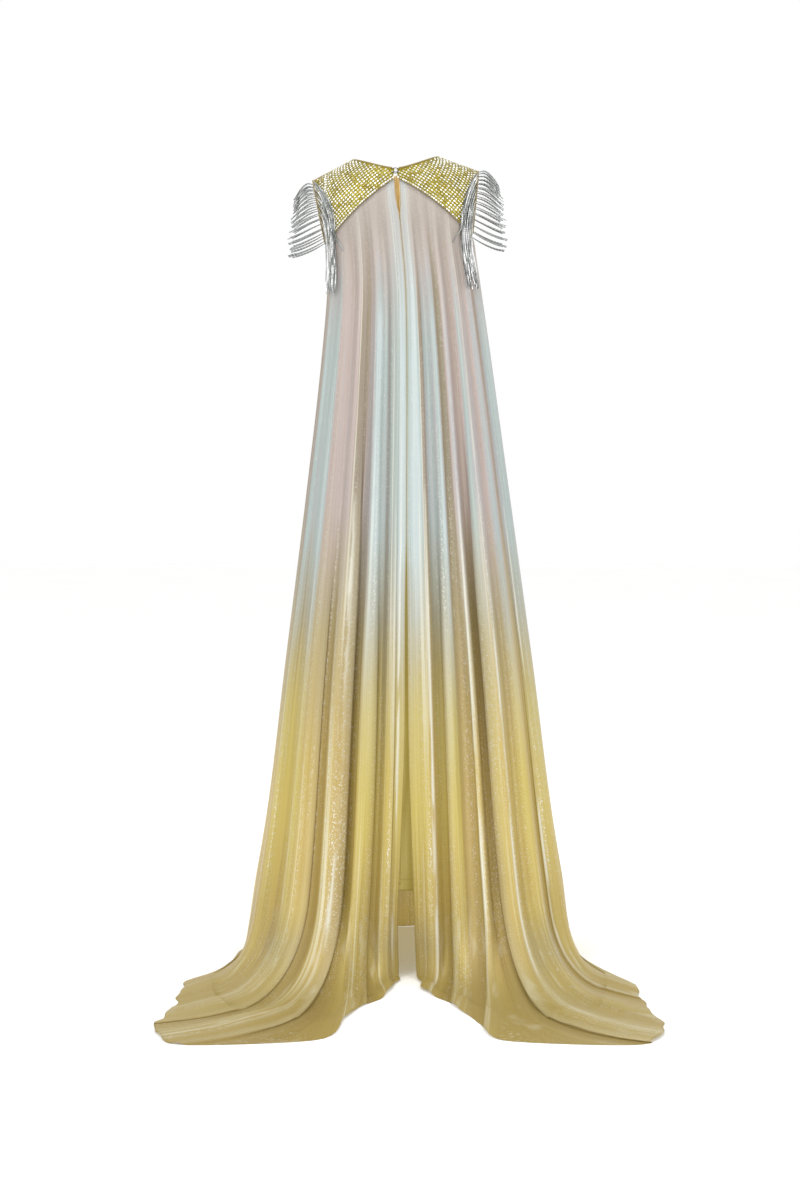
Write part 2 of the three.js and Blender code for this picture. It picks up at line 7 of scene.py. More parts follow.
import bpy
import numpy as np
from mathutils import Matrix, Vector


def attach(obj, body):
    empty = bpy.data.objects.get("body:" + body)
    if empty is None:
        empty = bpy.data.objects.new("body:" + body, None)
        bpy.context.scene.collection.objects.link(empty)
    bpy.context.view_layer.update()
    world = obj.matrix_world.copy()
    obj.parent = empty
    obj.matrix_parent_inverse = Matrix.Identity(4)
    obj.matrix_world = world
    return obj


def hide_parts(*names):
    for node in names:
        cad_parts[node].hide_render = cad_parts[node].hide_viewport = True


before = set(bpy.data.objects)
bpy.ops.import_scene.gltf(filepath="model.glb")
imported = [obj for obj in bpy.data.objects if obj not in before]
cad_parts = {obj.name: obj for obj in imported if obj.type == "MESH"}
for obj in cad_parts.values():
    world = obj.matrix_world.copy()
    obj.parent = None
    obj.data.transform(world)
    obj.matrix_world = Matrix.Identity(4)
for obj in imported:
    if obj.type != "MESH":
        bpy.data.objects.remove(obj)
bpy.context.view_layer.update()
MM = 0.001

# ---- Sizes of the cut ----
# Left is -1 and right is 1; so are the back and the front. NECKLINE holds its dip and the power of its curve,
# SHOULDER the height at the neck and the slope, LINING_HEM the height above the floor
FLOOR = -1510
FULL_HEIGHT = 1500
SEAM = 0.3
SEAM_DROP = 0.95
CLOTH_WALL = 1.2
YOKE_WALL = 2.4
ROUNDNESS = 2.2
NECK_HALF = 83
SHOULDER_HALF = 155
SHOULDER = {-1: (13.6, 0.52), 1: (19.3, 0.36)}
SHOULDER_ROUND = 90
NECKLINE = {-1: (-12, 1.4), 1: (-72, 1.7)}
YOKE_CENTRE = -29
YOKE_SLOPE = {-1: 0.62, 1: 0.42}
YOKE_CURVE = 0.0021
YOKE_TIP = {-1: 131, 1: 143}
FRONT_YOKE_POINT = -170
UNDERARM = -150
TIP_SHARE = 0.8
LINING_HEM = {-1: 165, 1: 80}
LINING_TUCK = 3.4
LINING_INSET = 10
LINING_TAPER = 0.016
SWEEP_HEIGHT = 560
FOLD_START = 80
TOP_FOLD_SHARE = 0.22
SIDES = {-1: "left", 1: "right"}


def table(names, *rows):
    """A table of numbers by column name."""
    return dict(zip(names.split(), np.array(rows, float).T))


# The girth that the cloth hangs on, by height above the floor
BODY = table(
    "height sway half back front middle",
    (0, 26, 324, 222, 210, -62),
    (250, 27, 279, 205, 192, -51),
    (560, 26, 239, 180, 170, -37),
    (870, 24, 198, 148, 145, -22),
    (1180, 20, 159, 115, 122, -8),
    (1290, 16, 147, 102, 114, -2),
    (1368, 9, 143, 95, 106, 0),
    (1440, 2, 178, 93, 98, 0),
)
UNDERARM_HEIGHT = 1368
UNDERARM_HALF = 143

# The folds of each panel: out is the depth at the hem in millimetres. Tint says which of the cloth's
# colours shows, from tan at 0 over rose and lilac to pale aqua at 1; the back's tints have their own table
FOLDS = {
    -1: table(
        "share out",
        (0, 5), (0.09, 13), (0.15, -12), (0.22, 11), (0.29, -17), (0.36, 15), (0.46, -9), (0.56, 10), (0.67, -7),
        (0.79, 9), (0.9, -4), (1, 0),
    ),
    1: table(
        "share out",
        (0, 5), (0.09, 14), (0.15, -13), (0.2, 9), (0.26, -6), (0.31, 10), (0.38, -18), (0.45, 15), (0.54, -5),
        (0.62, 9), (0.71, -7), (0.81, 9), (0.91, -4), (1, 0),
    ),
    0: table(
        "share out tint",
        (-1, 0, 0.3), (-0.84, 9, 0.6), (-0.68, -8, 0.8), (-0.52, 11, 0.5), (-0.36, -10, 0.25), (-0.2, 12, 0.7),
        (-0.04, -9, 0.85), (0.12, 12, 0.9), (0.28, -11, 0.2), (0.44, 10, 0.55), (0.6, -8, 0.7), (0.78, 10, 0.85),
        (1, 0, 0.35),
    ),
}

# The colours that the folds of each back panel show: tint as above, and shade from 0 to 1, a painted fold shadow
TINTS = {
    -1: table(
        "share tint shade",
        (0, 0.95, 0), (0.035, 1, 0), (0.06, 0.78, 0.25), (0.1, 0.74, 0.3), (0.125, 0.7, 0.7), (0.15, 0.95, 0),
        (0.21, 0.92, 0), (0.235, 0.58, 0.1), (0.275, 0.55, 0.15), (0.3, 0.12, 0.35), (0.345, 0.12, 0.3),
        (0.37, 0.36, 0), (0.45, 0.42, 0), (0.55, 0.36, 0.05), (0.575, 0.88, 0), (0.76, 0.84, 0), (0.785, 0.3, 0.55),
        (0.82, 0.2, 0.35), (1, 0.2, 0.35),
    ),
    1: table(
        "share tint shade",
        (0, 0.9, 0.1), (0.06, 1, 0), (0.083, 0.85, 0), (0.098, 0.05, 0.5), (0.112, 0.1, 0.3), (0.13, 0.85, 0),
        (0.16, 0.95, 0), (0.19, 0.7, 0.05), (0.215, 0.95, 0), (0.245, 0, 0.55), (0.275, 0.05, 0.5), (0.295, 0.42, 0),
        (0.38, 0.4, 0), (0.41, 0.5, 0), (0.43, 0.78, 0.05), (0.45, 0.4, 0), (0.56, 0.45, 0), (0.58, 0.75, 0.05),
        (0.61, 0.7, 0), (0.63, 0.15, 0.1), (0.68, 0.15, 0.15), (0.72, 0.82, 0), (0.9, 0.95, 0), (1, 0.6, 0.25),
    ),
}

# Where across each back panel a fold gleams along its whole length
GLEAMS = {-1: (0.035, 0.34, 0.6, 0.9), 1: (0.1, 0.31, 0.46, 0.74, 0.86)}
GLEAM_WIDTH = 0.0055

# Under the yoke the cloth lies plain, and takes on the folds' colours from here down; it is aqua beside
# the keyhole
PLAIN_ABOVE = 1430
PLAIN_FADE = 240
PLAIN_TINT = 0.32
KEYHOLE_TINT = 0.62
KEYHOLE_SHARE = 0.085

# How each back panel lies at its foot: where it meets the floor, the bend of its way out, and its hem
TRAIN = {
    -1: table(
        "share foot_x foot_y bend_x bend_y hem_x hem_y",
        (0, 0, -274, 0, -286, 0, -298),
        (0.09, 46, -300, 38, -340, 34, -386),
        (0.15, 78, -318, 70, -390, 66, -452),
        (0.22, 106, -338, 106, -450, 112, -556),
        (0.26, 124, -350, 130, -560, 150, -686),
        (0.29, 136, -356, 166, -660, 340, -719),
        (0.33, 148, -358, 190, -600, 402, -694),
        (0.46, 196, -350, 260, -540, 430, -600),
        (0.6, 246, -318, 320, -440, 414, -500),
        (0.74, 286, -264, 340, -340, 411, -400),
        (0.86, 309, -196, 346, -250, 406, -312),
        (0.94, 320, -130, 334, -156, 350, -196),
        (1, 324, -62, 328, -66, 334, -70),
    ),
    1: table(
        "share foot_x foot_y bend_x bend_y hem_x hem_y",
        (0, 0, -276, 0, -288, 0, -300),
        (0.09, 44, -304, 36, -340, 28, -384),
        (0.15, 72, -318, 64, -370, 56, -434),
        (0.2, 96, -330, 92, -410, 84, -488),
        (0.28, 132, -342, 126, -470, 116, -592),
        (0.34, 158, -346, 152, -560, 150, -686),
        (0.38, 176, -346, 200, -690, 350, -719),
        (0.42, 192, -344, 226, -620, 400, -694),
        (0.52, 226, -330, 286, -540, 428, -604),
        (0.64, 260, -300, 326, -440, 414, -500),
        (0.76, 289, -250, 342, -330, 410, -400),
        (0.87, 310, -186, 346, -246, 405, -312),
        (0.94, 320, -130, 334, -156, 350, -196),
        (1, 324, -62, 328, -66, 334, -70),
    ),
}

# The gap between the back panels, and the one in the lining's back, by height above the floor
CENTRE_GAP = table(
    "height half aside",
    (0, 16.4, -3),
    (130, 14.5, -7),
    (240, 10, -7),
    (420, 4, -6),
    (700, 2, -5),
    (820, 0.15, -4),
    (1404, 0.15, 3),
    (1434, 3.8, 3),
    (1458, 4.8, 2),
    (1481, 4.6, 0),
)
LINING_GAP = table(
    "height half aside",
    (0, 17, -4),
    (400, 8, -5),
    (620, 0.15, -5),
    (1384, 0.15, 3),
    (1424, 4.6, 3),
    (1490, 5.4, 0),
)


# ---- Curves and surfaces ----
def mix(a, b, share):
    return a + (b - a) * share


def held(share):
    return np.clip(share, 0, 1)


def ease(share):
    return (1 - np.cos(np.pi * held(share))) / 2


def between(keys, place):
    """Which rows of a table lie round a place, and the share of the way between them."""
    index = np.clip(np.searchsorted(keys, place, side="right") - 1, 0, len(keys) - 2)
    low, high = keys[index], keys[index + 1]
    return index, high - low, held((place - low) / (high - low))


def curve_of(rows, key, column, place):
    """A smooth curve through one column of a table, which never swings past its rows."""
    index, step, t = between(rows[key], np.asarray(place, float))
    values = rows[column]
    rate = np.diff(values) / np.diff(rows[key])
    before = np.concatenate([rate[:1], rate])
    after = np.concatenate([rate, rate[-1:]])
    most = 3 * np.minimum(np.abs(before), np.abs(after))
    slope = np.where(before * after <= 0, 0, np.clip((before + after) / 2, -most, most))
    p, q = values[index], values[index + 1]
    rise = (q - p) * (3 * t**2 - 2 * t**3)
    return p + rise + slope[index] * step * t * (1 - t) ** 2 - slope[index + 1] * step * t * t * (1 - t)


def waves_of(rows, column, place, crispness=1.0):
    """Waves that turn at each row of a table, with steeper sides the crisper they are."""
    index, _, t = between(rows["share"], np.asarray(place, float))
    return mix(rows[column][index], rows[column][index + 1], ease((t - 0.5) * crispness + 0.5))


def travelled(points, axis=0):
    """How far each point lies along its line of points."""
    steps = np.diff(points, axis=axis, prepend=np.take(points, [0], axis))
    return np.cumsum(np.linalg.norm(steps, axis=-1), axis=axis)


def sampled(stops, lengths, points):
    """Points at the given distances along a line of points."""
    return np.stack([np.interp(stops, lengths, points[:, k]) for k in range(3)], -1)


def shoulder_line(x):
    side = np.where(np.asarray(x) < 0, -1, 1)
    neck = np.where(side < 0, SHOULDER[-1][0], SHOULDER[1][0])
    slope = np.where(side < 0, SHOULDER[-1][1], SHOULDER[1][1])
    return neck + slope * (NECK_HALF - np.abs(x))


def girth(z):
    height = np.asarray(z, float) - FLOOR
    row = {name: curve_of(BODY, "height", name, height) for name in BODY if name != "height"}
    row["reach"] = np.where(height > UNDERARM_HEIGHT, UNDERARM_HALF, row["half"])
    return row


def worn(x, z, facing, inset=0.0):
    """A point of the worn surface, facing -1 for the back and 1 for the front, and its outward direction."""
    x, z = np.broadcast_arrays(np.asarray(x, float), np.asarray(z, float))
    body = girth(z)
    depth = body["back"] if facing < 0 else body["front"]
    across = np.clip((x - body["sway"]) / body["half"], -1, 1)
    round_share = (1 - np.abs(across) ** ROUNDNESS) ** (1 / ROUNDNESS)
    drop = held((shoulder_line(x) - z) / SHOULDER_ROUND)
    shoulder = np.sqrt(1 - (1 - drop) ** 2)
    out = np.stack(
        [
            np.sign(across) * np.abs(across) ** (ROUNDNESS - 1) / body["half"],
            facing * round_share ** (ROUNDNESS - 1) / depth,
            np.zeros_like(x),
        ],
        -1,
    )
    out /= np.linalg.norm(out, axis=-1, keepdims=True)
    point = np.stack([x, body["middle"] + facing * depth * round_share * shoulder, z], -1)
    return point - out * np.asarray(inset, float)[..., None], out


def worn_normal(x, z, facing):
    """The direction in which the worn surface faces, shoulders included."""
    across = worn(x + 1, z, facing)[0] - worn(x - 1, z, facing)[0]
    along = worn(x, z - 1, facing)[0] - worn(x, z, facing)[0]
    normal = facing * np.cross(across, along)
    return normal / np.linalg.norm(normal, axis=-1, keepdims=True)


def back_edge(x):
    slope = np.where(np.asarray(x) < 0, YOKE_SLOPE[-1], YOKE_SLOPE[1])
    return YOKE_CENTRE - slope * np.abs(x) - YOKE_CURVE * np.square(x)


def front_edge(x):
    tip = np.where(np.asarray(x) < 0, -YOKE_TIP[-1], YOKE_TIP[1])
    tip_z = np.where(np.asarray(x) < 0, back_edge(-YOKE_TIP[-1]), back_edge(YOKE_TIP[1]))
    return mix(FRONT_YOKE_POINT, tip_z, np.abs(x / tip) ** 1.3)


def edge_of(facing):
    return back_edge if facing < 0 else front_edge


def parting(side, gaps, share, z):
    half = np.maximum(SEAM / 2, curve_of(gaps, "height", "half", z - FLOOR))
    aside = curve_of(gaps, "height", "aside", z - FLOOR)
    return (side * half + aside) * held(1 - share / 0.18) ** 2


def column_x(side, share, z, gaps):
    body = girth(z)
    opened = parting(side, gaps, share, z) if gaps else 0
    return body["sway"] + side * body["reach"] * np.sin(share * np.pi / 2) + opened


def column_top(side, share, edge, gaps):
    """Where a column of cloth starts: along the yoke, then round the bottom of the armhole."""
    tip = side * YOKE_TIP[side]
    z = np.full(np.shape(share), float(YOKE_CENTRE))
    for _ in range(14):
        z = edge(np.clip(column_x(side, share, z, gaps), min(0, tip), max(0, tip)))
    armhole = mix(edge(tip), UNDERARM, ease((share - TIP_SHARE) / (1 - TIP_SHARE)))
    return np.where(share > TIP_SHARE, armhole, z)


def fold_share(z, top):
    return ease((top - z) / FOLD_START) * mix(1, TOP_FOLD_SHARE, held((z - FLOOR) / 1400))


# ---- The hand of the cloth: what a soft panel does beyond its main folds ----
# Laps: a fold that lies over its neighbour. The cloth on both sides of the place slides under the other.
LAPS = {
    -1: table("share slide start", (0.3, 12, 1150), (0.47, 8, 1000), (0.16, 8, 900), (0.06, 5, 800)),
    1: table("share slide start", (0.405, 13, 1150), (0.172, 8, 1000), (0.3, 7, 900), (0.72, 6, 800)),
}
LAP_WIDTH = 11
LAP_SHADOW_LINE = 4


def laps(side, share, points, height):
    """How far the cloth slides sideways beside each lap, how far it rises, how near it is, from 1 on it
    to -1 under it, which the dye turns into a painted highlight on the lap and a painted shadow under it,
    and the thin painted shadow line where it is sharpest."""
    across = travelled(points)
    slide, rise, near, line_shadow = 0, 0, 0, 0
    for place, most, start in zip(*(LAPS[side][name] for name in ("share", "slide", "start"))):
        index = np.interp(place, share[:, 0], np.arange(len(share)))
        low = int(index)
        line = mix(across[low], across[low + 1], index - low)
        way = (across - line[None]) / LAP_WIDTH
        grown = ease((start - height) / 500)
        slide = slide - most * grown * way * np.exp(0.5 - way**2)
        rise = rise + 0.3 * most * grown * way * np.exp(0.5 - (way / 1.6) ** 2)
        near = near + grown * (most / 18) * 2.33 * way * np.exp(-((way * 0.8) ** 2))
        line_shadow = line_shadow + grown * np.exp(-((way * LAP_WIDTH / LAP_SHADOW_LINE + 0.4) ** 2))
    return slide, rise, near, line_shadow


def soft_pleats(seed, share, fall):
    """Small soft pleats that run down the cloth, from -1 to 1."""
    draw = np.random.default_rng(seed)
    total = np.zeros(np.broadcast(share, fall).shape)
    for waves in (6, 10, 15, 23, 34):
        phase, drift, weight = draw.uniform(0, 6.3), draw.uniform(-1.6, 1.6), draw.uniform(0.6, 1)
        swell = 0.55 + 0.45 * np.sin(draw.uniform(0, 6.3) + share * draw.uniform(8, 20) + fall * 3)
        wave = np.sin(2 * np.pi * waves * share + phase + drift * fall)
        total += weight * swell * np.sign(wave) * np.abs(wave) ** 1.4 * (6 / waves) ** 0.55
    return total / 2.0


def tangents(points):
    """The directions over and out of a grid of points."""
    over, down = np.gradient(points, axis=0), np.gradient(points, axis=1)
    over /= np.linalg.norm(over, axis=-1, keepdims=True) + 1e-9
    out = np.cross(over, down)
    out /= np.linalg.norm(out, axis=-1, keepdims=True) + 1e-9
    return over, out


def back_wall(side, share, z, top):
    """A point on the hanging part of a back panel."""
    point, out = worn(column_x(side, share, z, CENTRE_GAP), z, -1)
    floor = np.full(np.shape(share), float(FLOOR))
    standing = worn(column_x(side, share, floor, CENTRE_GAP), floor, -1)[0]
    foot = back_train(side, share, 0.0)
    sweep = held(1 - (z - FLOOR) / SWEEP_HEIGHT) ** 2
    point[..., 0] += sweep * (foot - standing)[..., 0]
    point[..., 1] += sweep * (foot - standing)[..., 1] - np.where(share == 1, SEAM / 2, 0)
    depth = fold_share(z, top) * waves_of(FOLDS[side], "out", share)
    return point + out * depth[..., None]


def back_train(side, share, way):
    """A point on the part of a back panel that lies on the floor, way running from its foot to its hem."""
    rows = TRAIN[side]
    opened = parting(side, CENTRE_GAP, share, np.full(np.shape(share), float(FLOOR)))

    def bent(name):
        foot, bend, hem = (curve_of(rows, "share", f"{part}_{name}", share) for part in ("foot", "bend", "hem"))
        return (1 - way) ** 2 * foot + 2 * way * (1 - way) * bend + way**2 * hem

    lift = np.maximum(0, waves_of(FOLDS[side], "out", share) + 5)
    x = BODY["sway"][0] + side * bent("x") + opened
    y = bent("y") - np.where(share == 1, SEAM / 2, 0)
    z = FLOOR + CLOTH_WALL / 2 + lift * (0.85 - 0.6 * way)
    return np.stack(np.broadcast_arrays(x, y, z), -1)


# ---- Meshes ----
def deselect():
    bpy.ops.object.select_all(action="DESELECT")


def pick(piece):
    deselect()
    piece.select_set(True)
    bpy.context.view_layer.objects.active = piece


def edit(select=None):
    """Goes into edit mode, and selects all or nothing there."""
    bpy.ops.object.mode_set(mode="EDIT")
    if select:
        bpy.ops.mesh.select_all(action=select)


def leave_edit():
    bpy.ops.object.mode_set(mode="OBJECT")


def add_object(name, data):
    thing = bpy.data.objects.new(name, data)
    bpy.context.scene.collection.objects.link(thing)
    return thing


def new_mesh(name, points, faces):
    """A mesh from points in millimetres."""
    mesh = bpy.data.meshes.new(name)
    mesh.from_pydata((points.reshape(-1, 3) * MM).tolist(), [], faces)
    return mesh


def store(mesh, label, values):
    data = mesh.attributes.new(label, "FLOAT", "POINT")
    data.data.foreach_set("value", values.astype(np.float32).ravel())


def cloth_mesh(name, points, facing, spread, attributes):
    """A grid of points, columns across and rows down, as a sheet whose outside faces back or front.

    Spread is the cloth's width in metres, and attributes are numbers by name that the dye reads."""
    wide, high = points.shape[:2]
    corner = (np.arange(wide - 1)[:, None] * high + np.arange(high - 1)[None, :]).ravel()
    quads = np.stack([corner, corner + high, corner + high + 1, corner + 1], -1)
    middle = points[wide // 2, high // 2], points[wide // 2 + 1, high // 2], points[wide // 2, high // 2 + 1]
    if np.cross(middle[1] - middle[0], middle[2] - middle[0])[1] * facing < 0:
        quads = quads[:, ::-1]
    mesh = new_mesh(name, points, quads.tolist())
    fall = travelled(points, 1) * MM
    across = np.broadcast_to(np.linspace(0, spread, wide)[:, None], fall.shape)
    places = np.stack([across, fall], -1).reshape(-1, 2)
    layer = mesh.uv_layers.new(name="cloth")
    index = np.empty(len(mesh.loops), dtype=np.int32)
    mesh.loops.foreach_get("vertex_index", index)
    layer.data.foreach_set("uv", places[index].astype(np.float32).ravel())
    for label, values in attributes.items():
        store(mesh, label, np.broadcast_to(values, fall.shape))
    mesh.shade_smooth()
    return add_object(name, mesh)


def tube_mesh(name, path, radius, sides=6):
    """A tube along points with closed ends, its radius one number or one for each point."""
    path = np.asarray(path, float)
    along = np.gradient(path, axis=0)
    along /= np.linalg.norm(along, axis=1, keepdims=True)
    beside = np.cross(along, (0.0, 0.0, 1.0))
    weak = np.linalg.norm(beside, axis=1) < 1e-3
    beside[weak] = np.cross(along[weak], (1.0, 0.0, 0.0))
    beside /= np.linalg.norm(beside, axis=1, keepdims=True)
    over = np.cross(beside, along)
    turn = np.arange(sides) / sides * 2 * np.pi
    ring = np.cos(turn)[None, :, None] * beside[:, None] + np.sin(turn)[None, :, None] * over[:, None]
    radii = np.broadcast_to(np.asarray(radius, float), (len(path),))[:, None, None]
    faces = [
        (r * sides + s, r * sides + (s + 1) % sides, (r + 1) * sides + (s + 1) % sides, (r + 1) * sides + s)
        for r in range(len(path) - 1)
        for s in range(sides)
    ]
    faces += [tuple(range(sides))[::-1], tuple((len(path) - 1) * sides + s for s in range(sides))]
    mesh = new_mesh(name, path[:, None] + ring * radii, faces)
    mesh.shade_smooth()
    piece = add_object(name, mesh)
    recalculate(piece)
    return piece


def recalculate(piece):
    pick(piece)
    edit("SELECT")
    bpy.ops.mesh.normals_make_consistent(inside=False)
    leave_edit()


def in_order(model):
    """A model's corners and faces, sorted: an edit can leave them in another order on each run."""
    corners = np.array([v.co for v in model.data.vertices])
    order = np.lexsort(corners.round(5).T)
    rank = np.argsort(order).tolist()
    faces = []
    for polygon in model.data.polygons:
        face = [rank[v] for v in polygon.vertices]
        first = face.index(min(face))
        faces.append(face[first:] + face[:first])
    return corners[order], sorted(faces)


def copies(name, model, places, along, over, sizes, tones):
    """One mesh made of copies of a small model: each at its place in millimetres, its x axis along
    and its z axis over, scaled by its size, with a tone of its own for the finish."""
    corners, polygons = in_order(model)
    places, along, over = (np.asarray(a, float) for a in (places, along, over))
    over = over / np.linalg.norm(over, axis=1, keepdims=True)
    along = along - over * np.sum(along * over, axis=1, keepdims=True)
    along /= np.linalg.norm(along, axis=1, keepdims=True)
    beside = np.cross(over, along)
    sizes = np.asarray(sizes, float).reshape(len(places), -1)
    scaled = corners[None] * sizes[:, None]
    axes = enumerate((along, beside, over))
    points = places[:, None] + sum(scaled[..., k, None] * axis[:, None] for k, axis in axes)
    faces = [[i * len(corners) + v for v in polygon] for i in range(len(places)) for polygon in polygons]
    mesh = new_mesh(name, points, faces)
    store(mesh, "tone", np.repeat(np.asarray(tones, np.float32), len(corners)))
    return add_object(name, mesh)


# ---- Finishes ----
def operator(operation, reflected=False):
    """A Python operator that adds a Math node."""

    def apply(self, other):
        return self.math(operation, *((other, self) if reflected else (self, other)))

    return apply


class Socket:
    """A shader value on which Python's operators work."""

    def __init__(self, shade, link):
        self.shade, self.link = shade, link

    def math(self, operation, *values):
        return self.shade.node("Math", {"operation": operation}, dict(enumerate(values)))

    __add__ = __radd__ = operator("ADD")
    __sub__, __rsub__ = operator("SUBTRACT"), operator("SUBTRACT", reflected=True)
    __mul__ = __rmul__ = operator("MULTIPLY")
    __gt__ = operator("GREATER_THAN")

    def held(self, low=0.0, high=1.0):
        """The value drawn from low..high to 0..1 and held there."""
        return self.shade.node(
            "MapRange", {"clamp": True}, {"Value": self, "From Min": low, "From Max": high}
        )


class Shade:
    """A material, built from expressions."""

    def __init__(self, name):
        self.material = bpy.data.materials.new(name)
        self.material.use_nodes = True
        self.tree = self.material.node_tree
        self.tree.nodes.clear()

    def node(self, kind, settings=None, sockets=None, out=0):
        node = self.tree.nodes.new(f"ShaderNode{kind}")
        for key, value in (settings or {}).items():
            if key == "stops":
                elements = node.color_ramp.elements
                while len(elements) < len(value):
                    elements.new(0.5)
                for element, (place, colour) in zip(elements, value):
                    element.position = place
                    element.color = colour
            else:
                setattr(node, key, value)
        for key, value in (sockets or {}).items():
            if isinstance(value, Socket):
                self.tree.links.new(value.link, node.inputs[key])
            else:
                node.inputs[key].default_value = value
        return Socket(self, node.outputs[out])

    def attribute(self, name):
        return self.node("Attribute", {"attribute_name": name}, out="Fac")

    def uv(self, scale_across=1.0, scale_down=1.0):
        place = self.node("UVMap", {"uv_map": "cloth"})
        return self.node("Mapping", {}, {"Vector": place, "Scale": (scale_across, scale_down, 1)})

    def solid_place(self, scale=1.0):
        place = self.node("TexCoord", out="Object")
        return self.node("Mapping", {}, {"Vector": place, "Scale": (scale, scale, scale)})

    def noise(self, place, detail=2.0):
        return self.node("TexNoise", {}, {"Vector": place, "Scale": 1.0, "Detail": detail, "Roughness": 0.5})

    def cloth_noise(self, across, down, detail=2.0):
        """Noise that follows the cloth, so many waves a metre across it and down it."""
        return self.noise(self.uv(across, down), detail)

    def cells(self, scale, out="Color"):
        return self.node("TexVoronoi", {}, {"Vector": self.uv(), "Scale": scale}, out)

    def cell_tones(self, scale):
        """A number from 0 to 1 for each cell."""
        return self.node("SeparateColor", {}, {"Color": self.cells(scale)}, "Red")

    def ramp(self, value, *stops):
        return self.node("ValToRGB", {"stops": stops}, {"Fac": value})

    def blend(self, a, b, share, kind="MIX"):
        return self.node("Mix", {"data_type": "RGBA", "blend_type": kind}, {0: share, 6: a, 7: b}, 2)

    def dyed(self, value, gain, *stops):
        """A ramp of dyes: a place, red, green and blue for each stop."""
        return self.ramp(value, *((place, dye(*colour, gain)) for place, *colour in stops))

    def coated(self, colour, gain, *coats):
        """Dyes laid over a colour in turn: red, green, blue and how strongly each covers."""
        for red, green, blue, share in coats:
            colour = self.blend(colour, dye(red, green, blue, gain), share)
        return colour

    def bump(self, height, strength, distance):
        return self.node("Bump", {}, {"Height": height, "Strength": strength, "Distance": distance}, "Normal")

    def surface(self, **sockets):
        named = {key.replace("_", " "): value for key, value in sockets.items()}
        shader = self.node("BsdfPrincipled", {}, named, "BSDF")
        output = self.tree.nodes.new("ShaderNodeOutputMaterial")
        self.tree.links.new(shader.link, output.inputs["Surface"])
        return self.material


STUDIO_GAIN = 0.72
SHEER_GAIN = 0.62


def dye(red, green, blue, gain=STUDIO_GAIN):
    """A colour as it looks in the studio's light, as the light that the surface gives back."""
    return tuple(gain * ((v / 255 + 0.055) / 1.055) ** 2.4 for v in (red, green, blue)) + (1.0,)


def darker(colour, share):
    return tuple(v * share for v in colour[:3]) + (1.0,)


